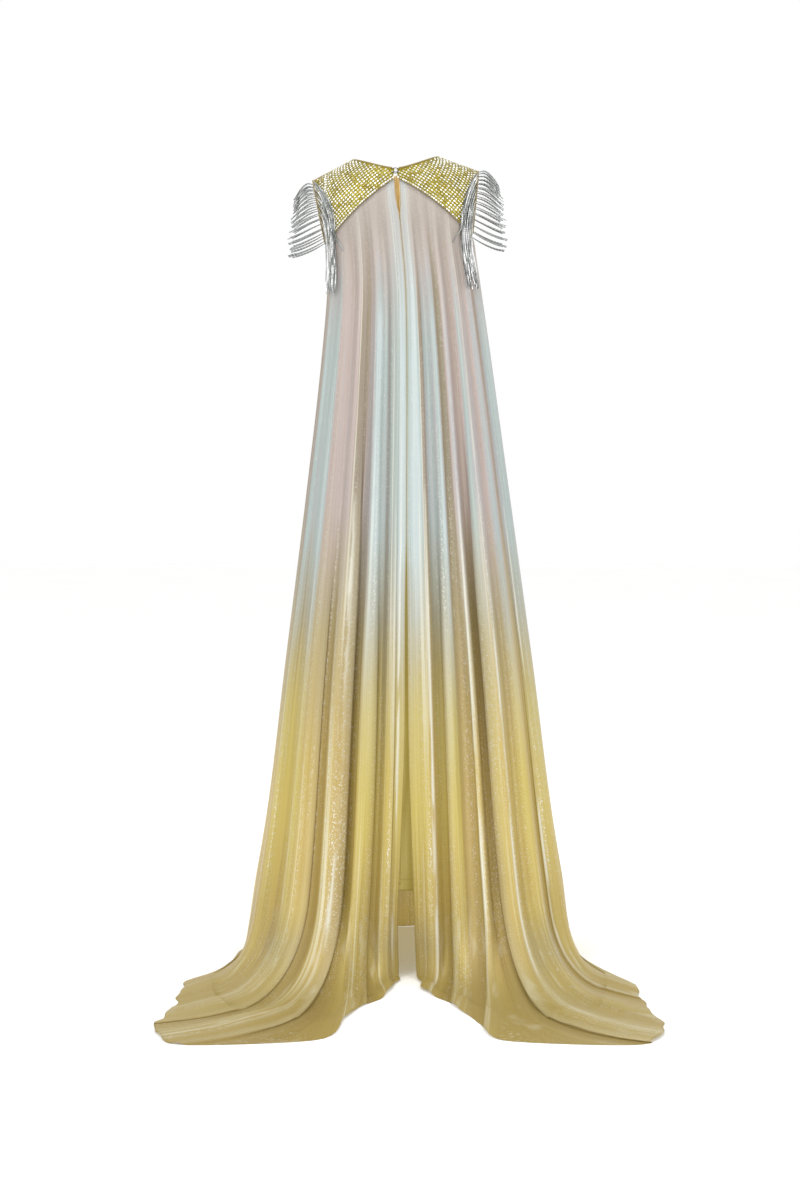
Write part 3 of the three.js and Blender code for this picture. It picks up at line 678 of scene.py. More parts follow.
def sheer_cloth():
    """Sheer cloth with metal thread: rose, lilac and aqua above, running into straw yellow below."""
    s = Shade("sheer_cloth")
    fold, tint, height, lap = (s.attribute(name) for name in ("fold", "tint", "height", "lap"))
    drift = s.cloth_noise(12, 1.5, 3)
    streaks, hairlines = s.cloth_noise(150, 1.8), s.cloth_noise(420, 2.6)
    crease_shading = s.cloth_noise(30, 0.7, 0).held(0.44, 0.56) - 0.5
    pulls = s.cloth_noise(85, 1.1, 0).held(0.4, 0.6) - 0.5
    # The fold value lightens the dye on ridges and darkens it in troughs, and the creases and fine streaks lighten
    # and darken it in thin stripes: painted shade and highlight of folds and pleats, over the cloth's own hue.
    fine = (streaks - 0.5) * 0.5 + (hairlines - 0.5) * 0.5 + pulls * 0.12
    drifting = (drift - 0.5) * 0.5
    broad = tint + drifting + fine * 0.55 + fold * 0.1 + crease_shading * 0.08
    upper = s.dyed(
        broad, SHEER_GAIN,
        (0.05, 166, 150, 120), (0.27, 190, 172, 162), (0.42, 204, 187, 180), (0.58, 194, 190, 192),
        (0.72, 186, 190, 190), (0.86, 182, 198, 194), (1.0, 208, 221, 221),
    )
    under_yoke = s.dyed(
        broad * 0.85 + 0.06, SHEER_GAIN,
        (0.1, 185, 174, 163), (0.5, 198, 188, 178), (0.75, 200, 193, 187), (1.0, 206, 214, 215),
    )
    pale = s.dyed(
        fold * 0.26 + 0.5 + drifting + fine + crease_shading * 0.14, SHEER_GAIN,
        (0.08, 150, 134, 86), (0.4, 182, 169, 130), (0.68, 196, 187, 158), (1.0, 216, 212, 194),
    )
    straw = s.dyed(
        fold * 0.22 + 0.48 + drifting + fine * 0.9 + crease_shading * 0.12, SHEER_GAIN,
        (0.03, 162, 129, 36), (0.33, 199, 170, 80), (0.6, 216, 190, 104), (0.8, 231, 211, 133),
        (1.0, 250, 242, 196),
    )
    uneven = (drift - 0.5) * 0.2 + (tint - 0.5) * 0.09
    high = (height + uneven).held(0.8, 0.93)
    silver = (height + uneven).held(0.42, 0.58)
    yellow = (height + uneven).held(0.25, 0.44)
    colour = s.blend(straw, pale, yellow)
    colour = s.blend(colour, upper, silver)
    colour = s.blend(colour, under_yoke, high * 0.85)
    green_gold = s.cloth_noise(7, 3, 1).held(0.5, 0.66) * (1 - yellow)
    rosy = (0.55 - tint).held(0, 0.5) * (1 - silver)
    lemon = (tint - 0.5).held(0, 0.4) * height.held(0.08, 0.2) * (1 - height.held(0.32, 0.44))
    # Painted shadow: grey patches low on the cloth, below the lining's hem, where shade shows through the sheer
    # cloth.
    shadow_through_cloth = (height - uneven * 0.12).held(0.012, 0.035) * (1 - (height + uneven * 0.06).held(0.05, 0.085))
    shadow_through_cloth = shadow_through_cloth * s.cloth_noise(4, 1, 1).held(0.42, 0.6)
    bright = s.cell_tones(620)
    glint = (bright > 0.93) * s.cloth_noise(34, 1.6, 1).held(0.48, 0.66)
    # Painted sparkle: white glints of the metal thread along broken strips low on the cloth.
    strips = s.cloth_noise(30, 1.1, 1).held(0.58, 0.66) * height.held(0.03, 0.14)
    strips = strips * (1 - height.held(0.42, 0.8) * 0.9)
    sparkle_glints = (s.cell_tones(450) > 0.85) * strips
    # Painted highlights on small crumples of the cloth near the floor.
    crumple_highlights = s.cloth_noise(30, 9).held(0.6, 0.7) * (1 - height.held(0.05, 0.13))
    gleam = s.attribute("gleam") * s.cloth_noise(40, 5).held(0.42, 0.52) * (1 - height.held(0.45, 0.7))
    gleam = gleam * (height.held(0.01, 0.06) * 0.7 + 0.3)
    # Painted highlights along the ridges of the folds.
    ridge_highlight = (fold * 0.5 + (streaks - 0.5) * 2.4 + pulls * 0.3).held(0.55, 0.95)
    grain = s.cloth_noise(1000, 420)
    colour = s.coated(
        colour, SHEER_GAIN,
        (200, 188, 92, green_gold * 0.25),
        (208, 180, 122, rosy * 0.45),
        (226, 208, 98, lemon * 0.45),
        (160, 150, 116, shadow_through_cloth * 0.36),
        # painted fold shadows, from the shade column of the tints
        (136, 132, 114, s.attribute("shade") * (height.held(0.2, 0.5) * 0.75)),
        (174, 152, 70, (0.035 - height).held(0, 0.03) * 0.5),
        (255, 255, 250, glint * 0.9),
        (255, 255, 244, sparkle_glints * 0.95),
        (172, 146, 58, s.attribute("edge") * 0.5),
        # painted shadow under each lap, painted highlight on it, and a thin painted shadow line along its edge
        (146, 122, 50, (lap * -0.42).held() * (1 - silver * 0.6)),
        (248, 244, 214, (lap * 0.4 - 0.1).held()),
        (134, 102, 24, s.attribute("lap_line") * (1 - silver) * 0.6),
        (255, 252, 230, crumple_highlights * 0.24),
        (255, 255, 240, gleam * 0.92),
        (252, 250, 226, ridge_highlight * 0.5),
        (255, 253, 240, (grain - 0.5).held(0.02, 0.3) * 0.35),
        (110, 98, 66, (0.5 - grain).held(0.02, 0.3) * 0.3),
    )
    shine = (fold * 0.7 + fine * 1.3 - 0.55).held(0, 0.5)
    weave = s.cloth_noise(1500, 500, 1)
    relief = weave * 0.4 + streaks * 2.2 + hairlines * 0.8 + bright * 0.3
    return s.surface(
        Base_Color=colour,
        Roughness=0.46 + (weave - 0.5) * 0.2 - glint * 0.25 - shine * 0.16,
        Metallic=0.3,
        Alpha=s.attribute("veil"),
        # Painted light: the cloth glows with its own colour as strongly as its glow attribute says, most on the
        # front panel near the floor.
        Emission_Color=s.blend((0, 0, 0, 1), colour, s.attribute("glow")),
        Emission_Strength=0.8,
        Normal=s.bump(relief, 0.5, 0.0008),
    )


def satin_lining():
    """Smooth gold satin with faint vertical pulls."""
    s = Shade("satin_lining")
    pulls, weave, sheen = s.cloth_noise(60, 2, 3), s.cloth_noise(2400, 300, 1), s.cloth_noise(260, 30, 1)
    # Painted light: near the top, where the satin shows in the keyhole, it is dyed lighter, up to near-white painted
    # highlights.
    lit_keyhole_satin = s.dyed(sheen, STUDIO_GAIN, (0.3, 184, 146, 76), (0.5, 220, 186, 120), (0.68, 248, 234, 196))
    dull = s.dyed(pulls, STUDIO_GAIN, (0.3, 160, 142, 62), (0.5, 186, 170, 90), (0.7, 210, 196, 124))
    colour = s.blend(dull, lit_keyhole_satin, s.attribute("height").held(0.75, 0.9))
    colour = s.coated(colour, STUDIO_GAIN, (126, 104, 40, s.attribute("edge") * 0.7))
    return s.surface(
        Base_Color=colour,
        Roughness=0.3 + (weave - 0.5) * 0.2,
        Metallic=0.1,
        # Painted light: the satin glows with its own colour.
        Emission_Color=colour,
        Emission_Strength=0.6,
        Normal=s.bump(pulls * 2 + weave * 0.4, 0.3, 0.0005),
    )


def yoke_mesh():
    """Gold mesh ground: a fine net whose threads stand up from olive cloth."""
    s = Shade("stone_mesh")
    net = s.cells(620, "Distance")
    patches = s.cloth_noise(40, 40)
    colour = s.dyed(
        net + (patches - 0.5) * 0.5, STUDIO_GAIN, (0.15, 90, 78, 4), (0.45, 150, 134, 8), (0.8, 204, 188, 46)
    )
    return s.surface(Base_Color=colour, Roughness=0.42, Metallic=0.55, Normal=s.bump(net, 0.6, 0.0006))


def cut_stones():
    """Clear stones on silver foil, each a little brighter or darker than the next."""
    s = Shade("cut_stones")
    tone = s.attribute("tone")
    colour = s.ramp(
        tone,
        (0.02, dye(176, 160, 84)), (0.16, dye(226, 222, 186)), (0.38, dye(255, 255, 250)), (1.0, (1, 1, 1, 1)),
    )
    return s.surface(Base_Color=colour, Roughness=0.16 + tone * 0.1, Metallic=0.3, Coat_Weight=0.6)


def silver_beads():
    """Silver-lined glass beads, dyed from dark grey to white by their tone: painted glitter of highlights and dark
    reflections.
    """
    s = Shade("silver_beads")
    tone = s.attribute("tone")
    colour = s.ramp(
        tone,
        (0.0, dye(64, 70, 64)), (0.35, dye(146, 151, 150)), (0.7, dye(208, 212, 211)), (0.95, (1, 1, 1, 1)),
    )
    return s.surface(Base_Color=colour, Roughness=0.3 + tone * 0.1, Metallic=0.45, Coat_Weight=0.4)


def plain_metal(name, colour, roughness):
    s = Shade(name)
    worn_off = s.noise(s.solid_place(900))
    return s.surface(
        Base_Color=s.blend(darker(colour, 0.7), colour, worn_off.held(0.3, 0.6)),
        Roughness=roughness + worn_off * 0.1,
        Metallic=0.8,
    )


def thread(name, colour):
    s = Shade(name)
    bands = {"wave_type": "BANDS", "bands_direction": "DIAGONAL"}
    twist = s.node("TexWave", bands, {"Vector": s.solid_place(), "Scale": 900.0}, "Fac")
    return s.surface(
        Base_Color=s.blend(darker(colour, 0.55), colour, twist), Roughness=0.6, Normal=s.bump(twist, 0.5, 0.0003)
    )


SHEER = sheer_cloth()
SATIN = satin_lining()
MESH = yoke_mesh()
STONES = cut_stones()
BEADS = silver_beads()
GOLD = plain_metal("gold_beads", dye(214, 178, 72), 0.25)
SILVER = plain_metal("button_silver", dye(250, 250, 248), 0.3)
PIPING = thread("gold_piping", dye(178, 158, 88))
LOOP = thread("loop_cord", dye(90, 84, 66))


# How thick the visible cloth and the yoke's ground are, in metres
SHELL = 0.0005
MESH_SHELL = 0.0016


def dress(piece, material, slot, *nodes):
    """The last steps for every piece: its finish, the body it rides on and the nodes it stands for."""
    piece.data.materials.clear()
    piece.data.materials.append(material)
    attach(piece, "root")
    if nodes:
        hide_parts(*nodes)
    return piece


def dressed_sheet(name, points, facing, spread, attributes, thickness, material, slot, node):
    """A sheet of cloth with its thickness and its finish."""
    sheet = cloth_mesh(name, points, facing, spread, attributes)
    pick(sheet)
    shell = sheet.modifiers.new("shell", "SOLIDIFY")
    shell.thickness, shell.offset = thickness, 0
    bpy.ops.object.modifier_apply(modifier=shell.name)
    return dress(sheet, material, slot, node)


# ---- Back panels ----
# Small forms of the cloth in millimetres, the columns across a panel, and the rows of its three parts
PLEAT_DEPTH = 2.0
SEAM_FOOT_IN = 12
HEM_WAVE = 3
PANEL_STEPS = 190
FRONT_STEPS = 90
HANGING = np.linspace(0, 1, 92)
BENDING = np.linspace(0, 1, 15)[1:]
LYING = np.linspace(0, 1, 30)[1:]


def even_shares(rows, steps):
    """Places across a panel, evenly spaced between the turns of its folds."""
    places = [rows["share"][:1]]
    for low, high in zip(rows["share"][:-1], rows["share"][1:]):
        places.append(np.linspace(low, high, max(6, int(steps * (high - low))) + 1)[1:])
    return np.concatenate(places)


def back_panel(side):
    share = even_shares(FOLDS[side], PANEL_STEPS)[:, None]
    top = column_top(side, share, back_edge, CENTRE_GAP) - SEAM_DROP
    foot, hem = back_train(side, share, 0.0), back_train(side, share, 1.0)
    length = np.linalg.norm(foot - hem, axis=-1)
    rise = np.minimum(170, 16 + 0.5 * length)
    landing = np.clip(rise / (length + 1), 0, 0.6)
    start = back_wall(side, share, FLOOR + rise, top)
    corner = back_wall(side, share, np.full(share.shape, FLOOR + CLOTH_WALL / 2), top)
    end = back_train(side, share, landing)
    z = mix(top, FLOOR + rise, HANGING[None])
    spread = np.broadcast_to(share, z.shape)
    hanging = back_wall(side, spread, z, np.broadcast_to(top, z.shape))
    t = BENDING[None, :, None]
    bending = (1 - t) ** 2 * start + 2 * t * (1 - t) * corner + t**2 * end
    way = mix(landing, 1, LYING[None])
    lying = back_train(side, np.broadcast_to(share, way.shape), way)
    lying[..., 2] += lying_wrinkles(side, lying, way, share)
    lying[..., 0] += side * HEM_WAVE * way**2 * (np.sin(share * 47 + side) + 0.6 * np.sin(share * 83))
    lying[..., 1] -= 0.7 * HEM_WAVE * way**2 * np.sin(share * 61 - side)
    points = np.concatenate([hanging, bending, lying], axis=1)
    height = points[..., 2] - FLOOR
    fall = 1 - height / 1480
    over, out = tangents(points)
    out *= -side
    edge_fade = held(np.minimum(share, 1 - share) / 0.05)
    pleats = soft_pleats(4 + side, share, fall) * edge_fade
    slide, rise, lap, lap_line = laps(side, share, points, height)
    strength = mix(0.35, 1, held(1.3 * fall)) * ease((top - points[..., 2]) / FOLD_START)
    resting = np.clip(height / 40, 0.25, 1)
    depth = PLEAT_DEPTH * pleats * strength * resting + rise * edge_fade
    points = points + over * (slide * edge_fade)[..., None] + out * depth[..., None]
    points[..., 2] = np.maximum(points[..., 2], FLOOR + CLOTH_WALL / 2)
    points[..., 0] -= side * SEAM_FOOT_IN * held((share - 0.94) / 0.06) * ease(1 - height / 160)
    down = travelled(points, 1)
    to_hem = down[:, -1:] - down
    slit_edge = held(1 - share / 0.012)
    coloured = ease((PLAIN_ABOVE - height) / PLAIN_FADE)
    plain = PLAIN_TINT + KEYHOLE_TINT * np.exp(-((share / KEYHOLE_SHARE) ** 4))
    attributes = {
        "fold": np.clip(waves_of(FOLDS[side], "out", share) / 14, -1, 1) + 0.25 * pleats,
        "tint": mix(plain, waves_of(TINTS[side], "tint", share, 1.5), coloured),
        # shade paints the fold shadows
        "shade": waves_of(TINTS[side], "shade", share, 1.5) * mix(0.12, 1, coloured),
        "gleam": sum(np.exp(-(((share - line) / GLEAM_WIDTH) ** 2)) for line in GLEAMS[side]),
        # lap and its shadow line paint a highlight on each lap and a shadow under it
        "lap": np.clip(lap, -1, 1),
        "lap_line": held(lap_line),
        "height": height / FULL_HEIGHT,
        "edge": np.maximum(held(1 - to_hem / 5), slit_edge),
        "veil": mix(0.8, 0.97, ease((height - 60) / 220)),
        "glow": 0.28,
    }
    names = f"sheer_back_{SIDES[side]}", f"back_panel_{SIDES[side]}"
    panel = dressed_sheet(names[0], points, -1, 0.9, attributes, SHELL, SHEER, "sheer_cloth", names[1])


def lying_wrinkles(side, points, way, share):
    """Low soft wrinkles of the cloth that lies on the floor."""
    x, y = points[..., 0], points[..., 1]
    waves = np.sin(x * 0.045 + y * 0.02) + 0.6 * np.sin(y * 0.06 - x * 0.02 + side)
    waves += 0.5 * np.sin(x * 0.09 - y * 0.05)
    return 1.6 * (1 + waves / 2.1) * np.sin(np.pi * held(way)) * held(share / 0.1)


# ---- Front panel and linings ----
def front_panel():
    share = even_shares(FOLDS[0], FRONT_STEPS)[:, None]
    side = np.where(share < 0, -1, 1)
    left, right = (column_top(s, np.abs(share), front_edge, None) for s in (-1, 1))
    top = np.where(side < 0, left, right) - SEAM_DROP
    z = mix(top, FLOOR + 1, np.linspace(0, 1, 110)[None])
    spread = np.broadcast_to(np.abs(share), z.shape)
    x = np.where(side < 0, column_x(-1, spread, z, None), column_x(1, spread, z, None))
    point, out = worn(x, z, 1)
    point[..., 1] += np.where(spread == 1, SEAM / 2, 0)
    folds = fold_share(z, top)
    fade = held((1 - np.abs(share)) / 0.05)
    pleats = fade * soft_pleats(9, share, (top - z) / 1400)
    depth = folds * (waves_of(FOLDS[0], "out", share) + PLEAT_DEPTH * pleats)
    points = point + out * depth[..., None]
    height = points[..., 2] - FLOOR
    points[..., 0] -= side * SEAM_FOOT_IN * held((np.abs(share) - 0.8) / 0.2) * ease(1 - height / 160)
    attributes = {
        "fold": np.clip(waves_of(FOLDS[0], "out", share) / 14, -1, 1),
        "tint": waves_of(FOLDS[0], "tint", share),
        **dict.fromkeys(("shade", "gleam", "lap", "lap_line"), 0.0),
        "height": height / FULL_HEIGHT,
        "edge": np.maximum(held(1 - height / 6), held(1 - np.abs(height - 58) / 1.2) * 0.6),
        "veil": mix(0.86, 0.97, ease((height - 60) / 120)),
        "glow": mix(0.8, 0.28, ease((height - 100) / 300)),
    }
    panel = dressed_sheet("sheer_front", points, 1, 1.3, attributes, SHELL, SHEER, "sheer_cloth", "front_panel")


LINING_SHARES = np.linspace(0, 1, 40)[:, None]
LINING_STOPS = (0, 0.1, 12), (0.1, 0.975, 34), (0.975, 1, 12)
LINING_ROWS = np.concatenate([[0], *(np.linspace(*stops)[1:] for stops in LINING_STOPS)])


def joined(halves):
    """One half as it is, or the left half turned round and set before the right one."""
    return np.concatenate([*(half[:0:-1] for half in halves[:-1]), halves[-1]])


def lining_points(side, facing):
    share = LINING_SHARES
    edge = edge_of(facing)
    tucked = mix(7, -1.5, ease((share - 0.66) / 0.16))
    gaps = LINING_GAP if facing < 0 else None
    top = column_top(side, share, edge, gaps) + tucked
    round_share = np.cos(share * np.pi / 2)
    side_hem = (LINING_HEM[-1] + LINING_HEM[1]) / 2
    hem = FLOOR + mix(side_hem, LINING_HEM[facing], round_share)
    z = mix(top, hem, LINING_ROWS[None])
    inset = mix(LINING_TUCK, LINING_INSET + LINING_TAPER * (top - z), ease((top - z) / 70))
    spread = np.broadcast_to(share, z.shape)
    point, _ = worn(column_x(side, spread, z, gaps), z, facing, inset)
    point[..., 1] += np.where(spread == 1, facing * SEAM / 2, 0)
    return point, hem


def lining_piece(name, points, hem, facing, node):
    height = points[..., 2] - FLOOR
    to_hem = points[..., 2] - hem
    attributes = {
        "height": height / FULL_HEIGHT,
        "edge": np.maximum(held(1 - to_hem / 2), held(1 - np.abs(to_hem - 22) / 1.5)),
    }
    piece = dressed_sheet(name, points, facing, 0.5, attributes, SHELL, SATIN, "satin_lining", node)


def turn_in(points, side):
    """Draws the satin's edge at the keyhole to the middle and into the dress, as a turned facing lies."""
    height = points[..., 2] - FLOOR
    opened = held((height - 1390) / 30)
    near = held(1 - LINING_SHARES / 0.1) * opened
    points[..., 0] -= side * (curve_of(LINING_GAP, "height", "half", height) + 0.8) * near
    points[..., 1] += (8.25 - 0.75 * side) * near**2


def linings():
    for side, name in SIDES.items():
        points, hem = lining_points(side, -1)
        turn_in(points, side)
        lining_piece(f"satin_back_{name}", points, hem, -1, f"lining_back_{name}")
    points, hem = (joined(part) for part in zip(*(lining_points(side, 1) for side in SIDES)))
    lining_piece("satin_front", points, hem, 1, "lining_front")


# ---- Yoke: mesh ground, rows of stones, piping and beaded armhole ----
def top_line(x, facing):
    """The neckline, and past it the shoulder line."""
    dip, power = NECKLINE[facing]
    end = np.where(np.asarray(x) < 0, shoulder_line(-NECK_HALF), shoulder_line(NECK_HALF))
    neck = mix(dip, end, held(np.abs(x) / NECK_HALF) ** power)
    return np.where(np.abs(x) < NECK_HALF, neck, shoulder_line(x))


def armhole_x(side, z, edge):
    """How far from the middle the armhole's edge lies at a height."""
    top, low = shoulder_line(side * SHOULDER_HALF), edge(side * YOKE_TIP[side])
    return mix(SHOULDER_HALF, YOKE_TIP[side], held((top - z) / (top - low)))


def yoke_points(side, across, down, facing):
    """Points of the yoke: across from the centre to the armhole, down from the neck or the shoulder."""
    edge = edge_of(facing)
    turn = 1 - (1 - held(across * 2)) ** 2
    opening = (2, 5) if facing < 0 else (0, 0)
    top_x = np.where(across > 0.5, mix(NECK_HALF, SHOULDER_HALF, held(across * 2 - 1)), NECK_HALF * turn)
    top_x = side * np.maximum(opening[0], top_x)
    dip, power = NECKLINE[facing]
    neck = mix(dip, shoulder_line(side * NECK_HALF), turn**power)
    top_z = np.where(across > 0.5, shoulder_line(top_x), neck)
    low_x = side * np.maximum(opening[1], YOKE_TIP[side] * across)
    share = down**1.5
    x, z = mix(top_x, low_x, share), mix(top_z, edge(low_x), share)
    point, out = worn(x, z, facing)
    point[..., 1] += facing * np.where((down == 0) & (across >= 0.5), 1.3 * SEAM, 0)
    return point, out, x, z


def yoke_ground(side, facing):
    """The ground of one half of a yoke."""
    across, down = np.linspace(0, 1, 56)[:, None], np.linspace(0, 1, 34)[None]
    across, down = np.broadcast_arrays(across, down)
    return yoke_points(side, across, down, facing)[0]


# How the stones and the beads of the armhole are set; the sizes of a stone are the span of each of its measures
FIRST_ROW = 2.2
ROW_PITCH = 5.1
STONE_PITCH = 6.5
ARMHOLE_BEADS = 64
ARMHOLE_BEAD = 2.4
PIPING_RADIUS = 0.9
BINDING_RADIUS = 1.7
STONE_SIZES = (4.2, 5.0), (3.0, 3.5), (3.4, 4.2)


def stone_rows(side, facing, draw):
    """Places of the stones: rows that keep their distance from the lower edge, stones at even steps."""
    edge = edge_of(facing)
    x = np.linspace(3 if facing < 0 else 0.0, SHOULDER_HALF + 2, 640) * side
    low, high = edge(x), top_line(x, facing)
    steps = np.linspace(0, 1, 240)
    z = mix(low[:, None], high[:, None], steps[None])
    surface, _ = worn(np.broadcast_to(x[:, None], z.shape), z, facing)
    climbed = travelled(surface, 1)
    lean = np.hypot(1, np.gradient(low, x))
    places, alongs, depths = [], [], []
    for row in range(60):
        wanted = (FIRST_ROW + ROW_PITCH * row) * lean
        height = np.array([np.interp(w, c, zs) for w, c, zs in zip(wanted, climbed, z)])
        point, _ = worn(x, height, facing)
        length = travelled(point)
        pitch = STONE_PITCH * (0.8 if row == 0 else 1)
        stops = np.arange(pitch * (0.5 + 0.5 * (row % 2)), length[-1], pitch)
        spot = np.interp(stops, length, x)
        level = np.interp(stops, length, height)
        reach = np.interp(stops, length, climbed[:, -1] - wanted)
        clear = np.where(np.abs(spot) > NECK_HALF, 6.5, 4)
        inside = (reach > clear) & (np.abs(spot) < armhole_x(side, level, edge) - 2.6)
        places.append(np.stack([spot[inside], level[inside]], -1))
        alongs.append((sampled(stops + 1, length, point) - sampled(stops - 1, length, point))[inside])
        depths.append(reach[inside] + np.where(np.abs(spot[inside]) > NECK_HALF, 0, 14))
    places, alongs, depths = (np.concatenate(part) for part in (places, alongs, depths))
    normal = worn_normal(places[:, 0], places[:, 1], facing)
    point, _ = worn(places[:, 0], places[:, 1], facing)
    return point + normal * (YOKE_WALL / 2 - 0.1), alongs + draw.normal(0, 0.05, alongs.shape), normal, depths


def model_stone():
    """One cut stone of unit width: an eight-sided drum whose top is drawn in to a flat table."""
    deselect()
    bpy.ops.mesh.primitive_cylinder_add(vertices=8, radius=0.5, depth=0.16, location=(0, 0, 0.08))
    stone = bpy.context.object
    edit("DESELECT")
    leave_edit()
    for face in stone.data.polygons:
        face.select = face.normal.z > 0.9
    edit()
    bpy.ops.mesh.extrude_region_move(TRANSFORM_OT_translate={"value": (0, 0, 0.22)})
    bpy.ops.transform.resize(value=(0.52, 0.52, 1), center_override=(0, 0, 0.38))
    leave_edit()
    bpy.ops.object.transform_apply(location=True, rotation=True, scale=True)
    return stone


def model_bead(sides, bevel):
    """One bead of unit length and width along x, with rounded rims."""
    deselect()
    bpy.ops.mesh.primitive_cylinder_add(vertices=sides, radius=0.5, depth=1)
    bead = bpy.context.object
    edit("SELECT")
    bpy.ops.transform.rotate(value=math.pi / 2, orient_axis="Y", center_override=(0, 0, 0))
    bpy.ops.mesh.select_all(action="DESELECT")
    leave_edit()
    for edge in bead.data.edges:
        a, b = (bead.data.vertices[v].co for v in edge.vertices)
        edge.select = abs(a.x - b.x) < 0.01
    edit()
    bpy.ops.mesh.bevel(offset=bevel, segments=1)
    leave_edit()
    return bead


def edge_line(side, facing, count):
    """Points along the lower edge of one yoke half, from the centre to the tip."""
    edge = edge_of(facing)
    x = side * np.linspace(5 if facing < 0 else 0, YOKE_TIP[side], count)
    point, _ = worn(x, edge(x), facing)
    return point + worn_normal(x, edge(x), facing) * 1.0


def neck_line(side, facing, count):
    """Points along the neckline and the shoulder of one yoke half."""
    across = np.linspace(0.02, 0.99, count)
    point, _, x, z = yoke_points(side, across, np.full(count, 0.004), facing)
    return point + worn_normal(x, z - 0.6, facing) * 0.6


def armhole_line(side, facing, count):
    down = np.linspace(0.02, 0.99, count)
    point, out, x, z = yoke_points(side, np.ones(count), down, facing)
    return point + worn_normal(x, z, facing) * 1.0, out


def yokes(stone, bead):
    for facing, sides in ((-1, (-1,)), (-1, (1,)), (1, (-1, 1))):
        label = "front" if facing > 0 else f"back_{SIDES[sides[0]]}"
        halves = [yoke_ground(side, facing) for side in sides]
        spread, names = 0.18 * len(sides), (f"mesh_{label}", f"yoke_{label}")
        ground = dressed_sheet(
            names[0], joined(halves), facing, spread, {"fold": 0.0}, MESH_SHELL, MESH, "stone_yoke", names[1]
        )
        draw = np.random.default_rng(20 + len(label))
        rows = [stone_rows(side, facing, draw) for side in sides]
        places, alongs, normals, depths = (np.concatenate(part) for part in zip(*rows))
        count = len(places)
        sizes = np.stack([draw.uniform(*span, count) for span in STONE_SIZES], -1)
        sizes[:, 2] *= np.clip(depths / 24, 0.25, 1)
        tilted = normals + draw.normal(0, 0.09, normals.shape)
        tones = draw.random(count) * held((depths - 9) / 30)
        stones = copies(f"stones_{label}", stone, places, alongs, tilted, sizes, tones)
        dress(stones, STONES, "stone_yoke")
        for side in sides:
            name = f"{label}_{SIDES[side]}" if facing > 0 else label
            dress(tube_mesh(f"piping_{name}", edge_line(side, facing, 70), PIPING_RADIUS), PIPING, "stone_yoke")
            dress(tube_mesh(f"binding_{name}", neck_line(side, facing, 90), BINDING_RADIUS), PIPING, "stone_yoke")
            line, out = armhole_line(side, facing, ARMHOLE_BEADS)
            step, sizes = np.gradient(line, axis=0), np.full(line.shape, ARMHOLE_BEAD)
            beads = copies(f"armhole_beads_{name}", bead, line, step, out, sizes, draw.random(ARMHOLE_BEADS))
            dress(beads, GOLD, "stone_yoke")


# ---- Fringe ----
TAPE_RADIUS = 1.6
STRIP_RADIUS = 2
STRING_RADIUS = 1.15
STRING_PITCH = 3.1
HANGING_STRINGS = 6
HANGING_LAYERS = 2
HANGING_START = {-1: 13, 1: 3}
HANGING_PITCH = 5
HANGING_END = {-1: -238, 1: -228}
FAN_STRINGS = 14
FAN_DROP = 27
FAN = {-1: (0.2, 193, 206), 1: (0.08, 198, 214)}
BEAD_LENGTH = {"hanging": 3.5, "fan": 5.6}
BEAD_WIDTH = {"hanging": 1.7, "fan": 1.45}


def beside(side, down, facing, inwards, lifted):
    """A point beside the yoke's armhole edge: inwards over the yoke, and lifted off it."""
    place = yoke_points(side, np.ones(1), np.full(1, float(down)), facing)[0][0]
    steps = 8 if inwards > 0 else 1
    for _ in range(steps):
        out = worn(place[0], place[2], facing)[1]
        place = place + np.array([-out[1], out[0], 0]) * side * facing * inwards / steps
        if inwards > 0:
            place = worn(place[0], place[2], facing)[0]
    return place + worn(place[0], place[2], facing)[1] * lifted


def strip_point(side, down, facing):
    return beside(side, down, facing, -1.6, YOKE_WALL / 2 + STRIP_RADIUS + SEAM)


def hanging_string(side, facing, slot, layer):
    start = mix(0.1, 0.78, (slot + layer / 2) / HANGING_STRINGS)
    inwards = HANGING_START[side] + (HANGING_STRINGS - slot) * HANGING_PITCH
    lifted = YOKE_WALL / 2 + STRING_RADIUS + 1.6 + layer * STRING_PITCH
    low, seat = beside(side, 0.96, facing, inwards, lifted), beside(side, 0.96, facing, inwards, 0)
    body = girth(seat[2])
    across = (seat[0] - body["sway"]) / body["half"]
    end = HANGING_END[side] + 7 * math.sin(5 * slot + 3 * layer)
    count = math.ceil((0.86 - start) / 0.2)
    laid = [
        beside(side, down, facing, inwards * ((down - start) / (0.96 - start)) ** 0.8, lifted)
        for down in np.linspace(start + 0.1, 0.96, count + 1)
    ]
    hung = []
    for i, z in enumerate(np.linspace(low[2], end, 4)[1:]):
        row = girth(z)
        point, out = worn(row["sway"] + across * row["half"], z, facing)
        hung.append(point + out * (lifted + 1 + i))
    return np.array([strip_point(side, start, facing), *laid, *hung])


def fan_string(side, facing, index):
    start, top_end, low_end = FAN[side]
    share = index / (FAN_STRINGS - 1)
    root = strip_point(side, mix(start, 0.97, share), facing)
    end = side * mix(top_end, low_end, share)
    falls = (0, 0), (0.35, mix(-0.05, 0.5, share)), (0.7, mix(0.38, 0.86, share)), (1, 1)
    return np.array([
        (mix(root[0], end, out), root[1] * (1 + 0.06 * out), root[2] - FAN_DROP * fall) for out, fall in falls
    ])


def stray_string(side, facing):
    """The loose string that lies over the cloth beside the others."""
    inwards = HANGING_START[side] + HANGING_STRINGS * HANGING_PITCH
    lifted = YOKE_WALL / 2 + STRING_RADIUS + 2
    above = beside(side, 0.8, facing, inwards * 0.82, lifted)
    seat = beside(side, 0.96, facing, inwards + 3, 0)
    point, out = worn(seat[0] - side * np.array([0, 8, 15]), seat[2] - np.array([0, 13, 27]), facing)
    return np.array([above, *(point + out * lifted)])


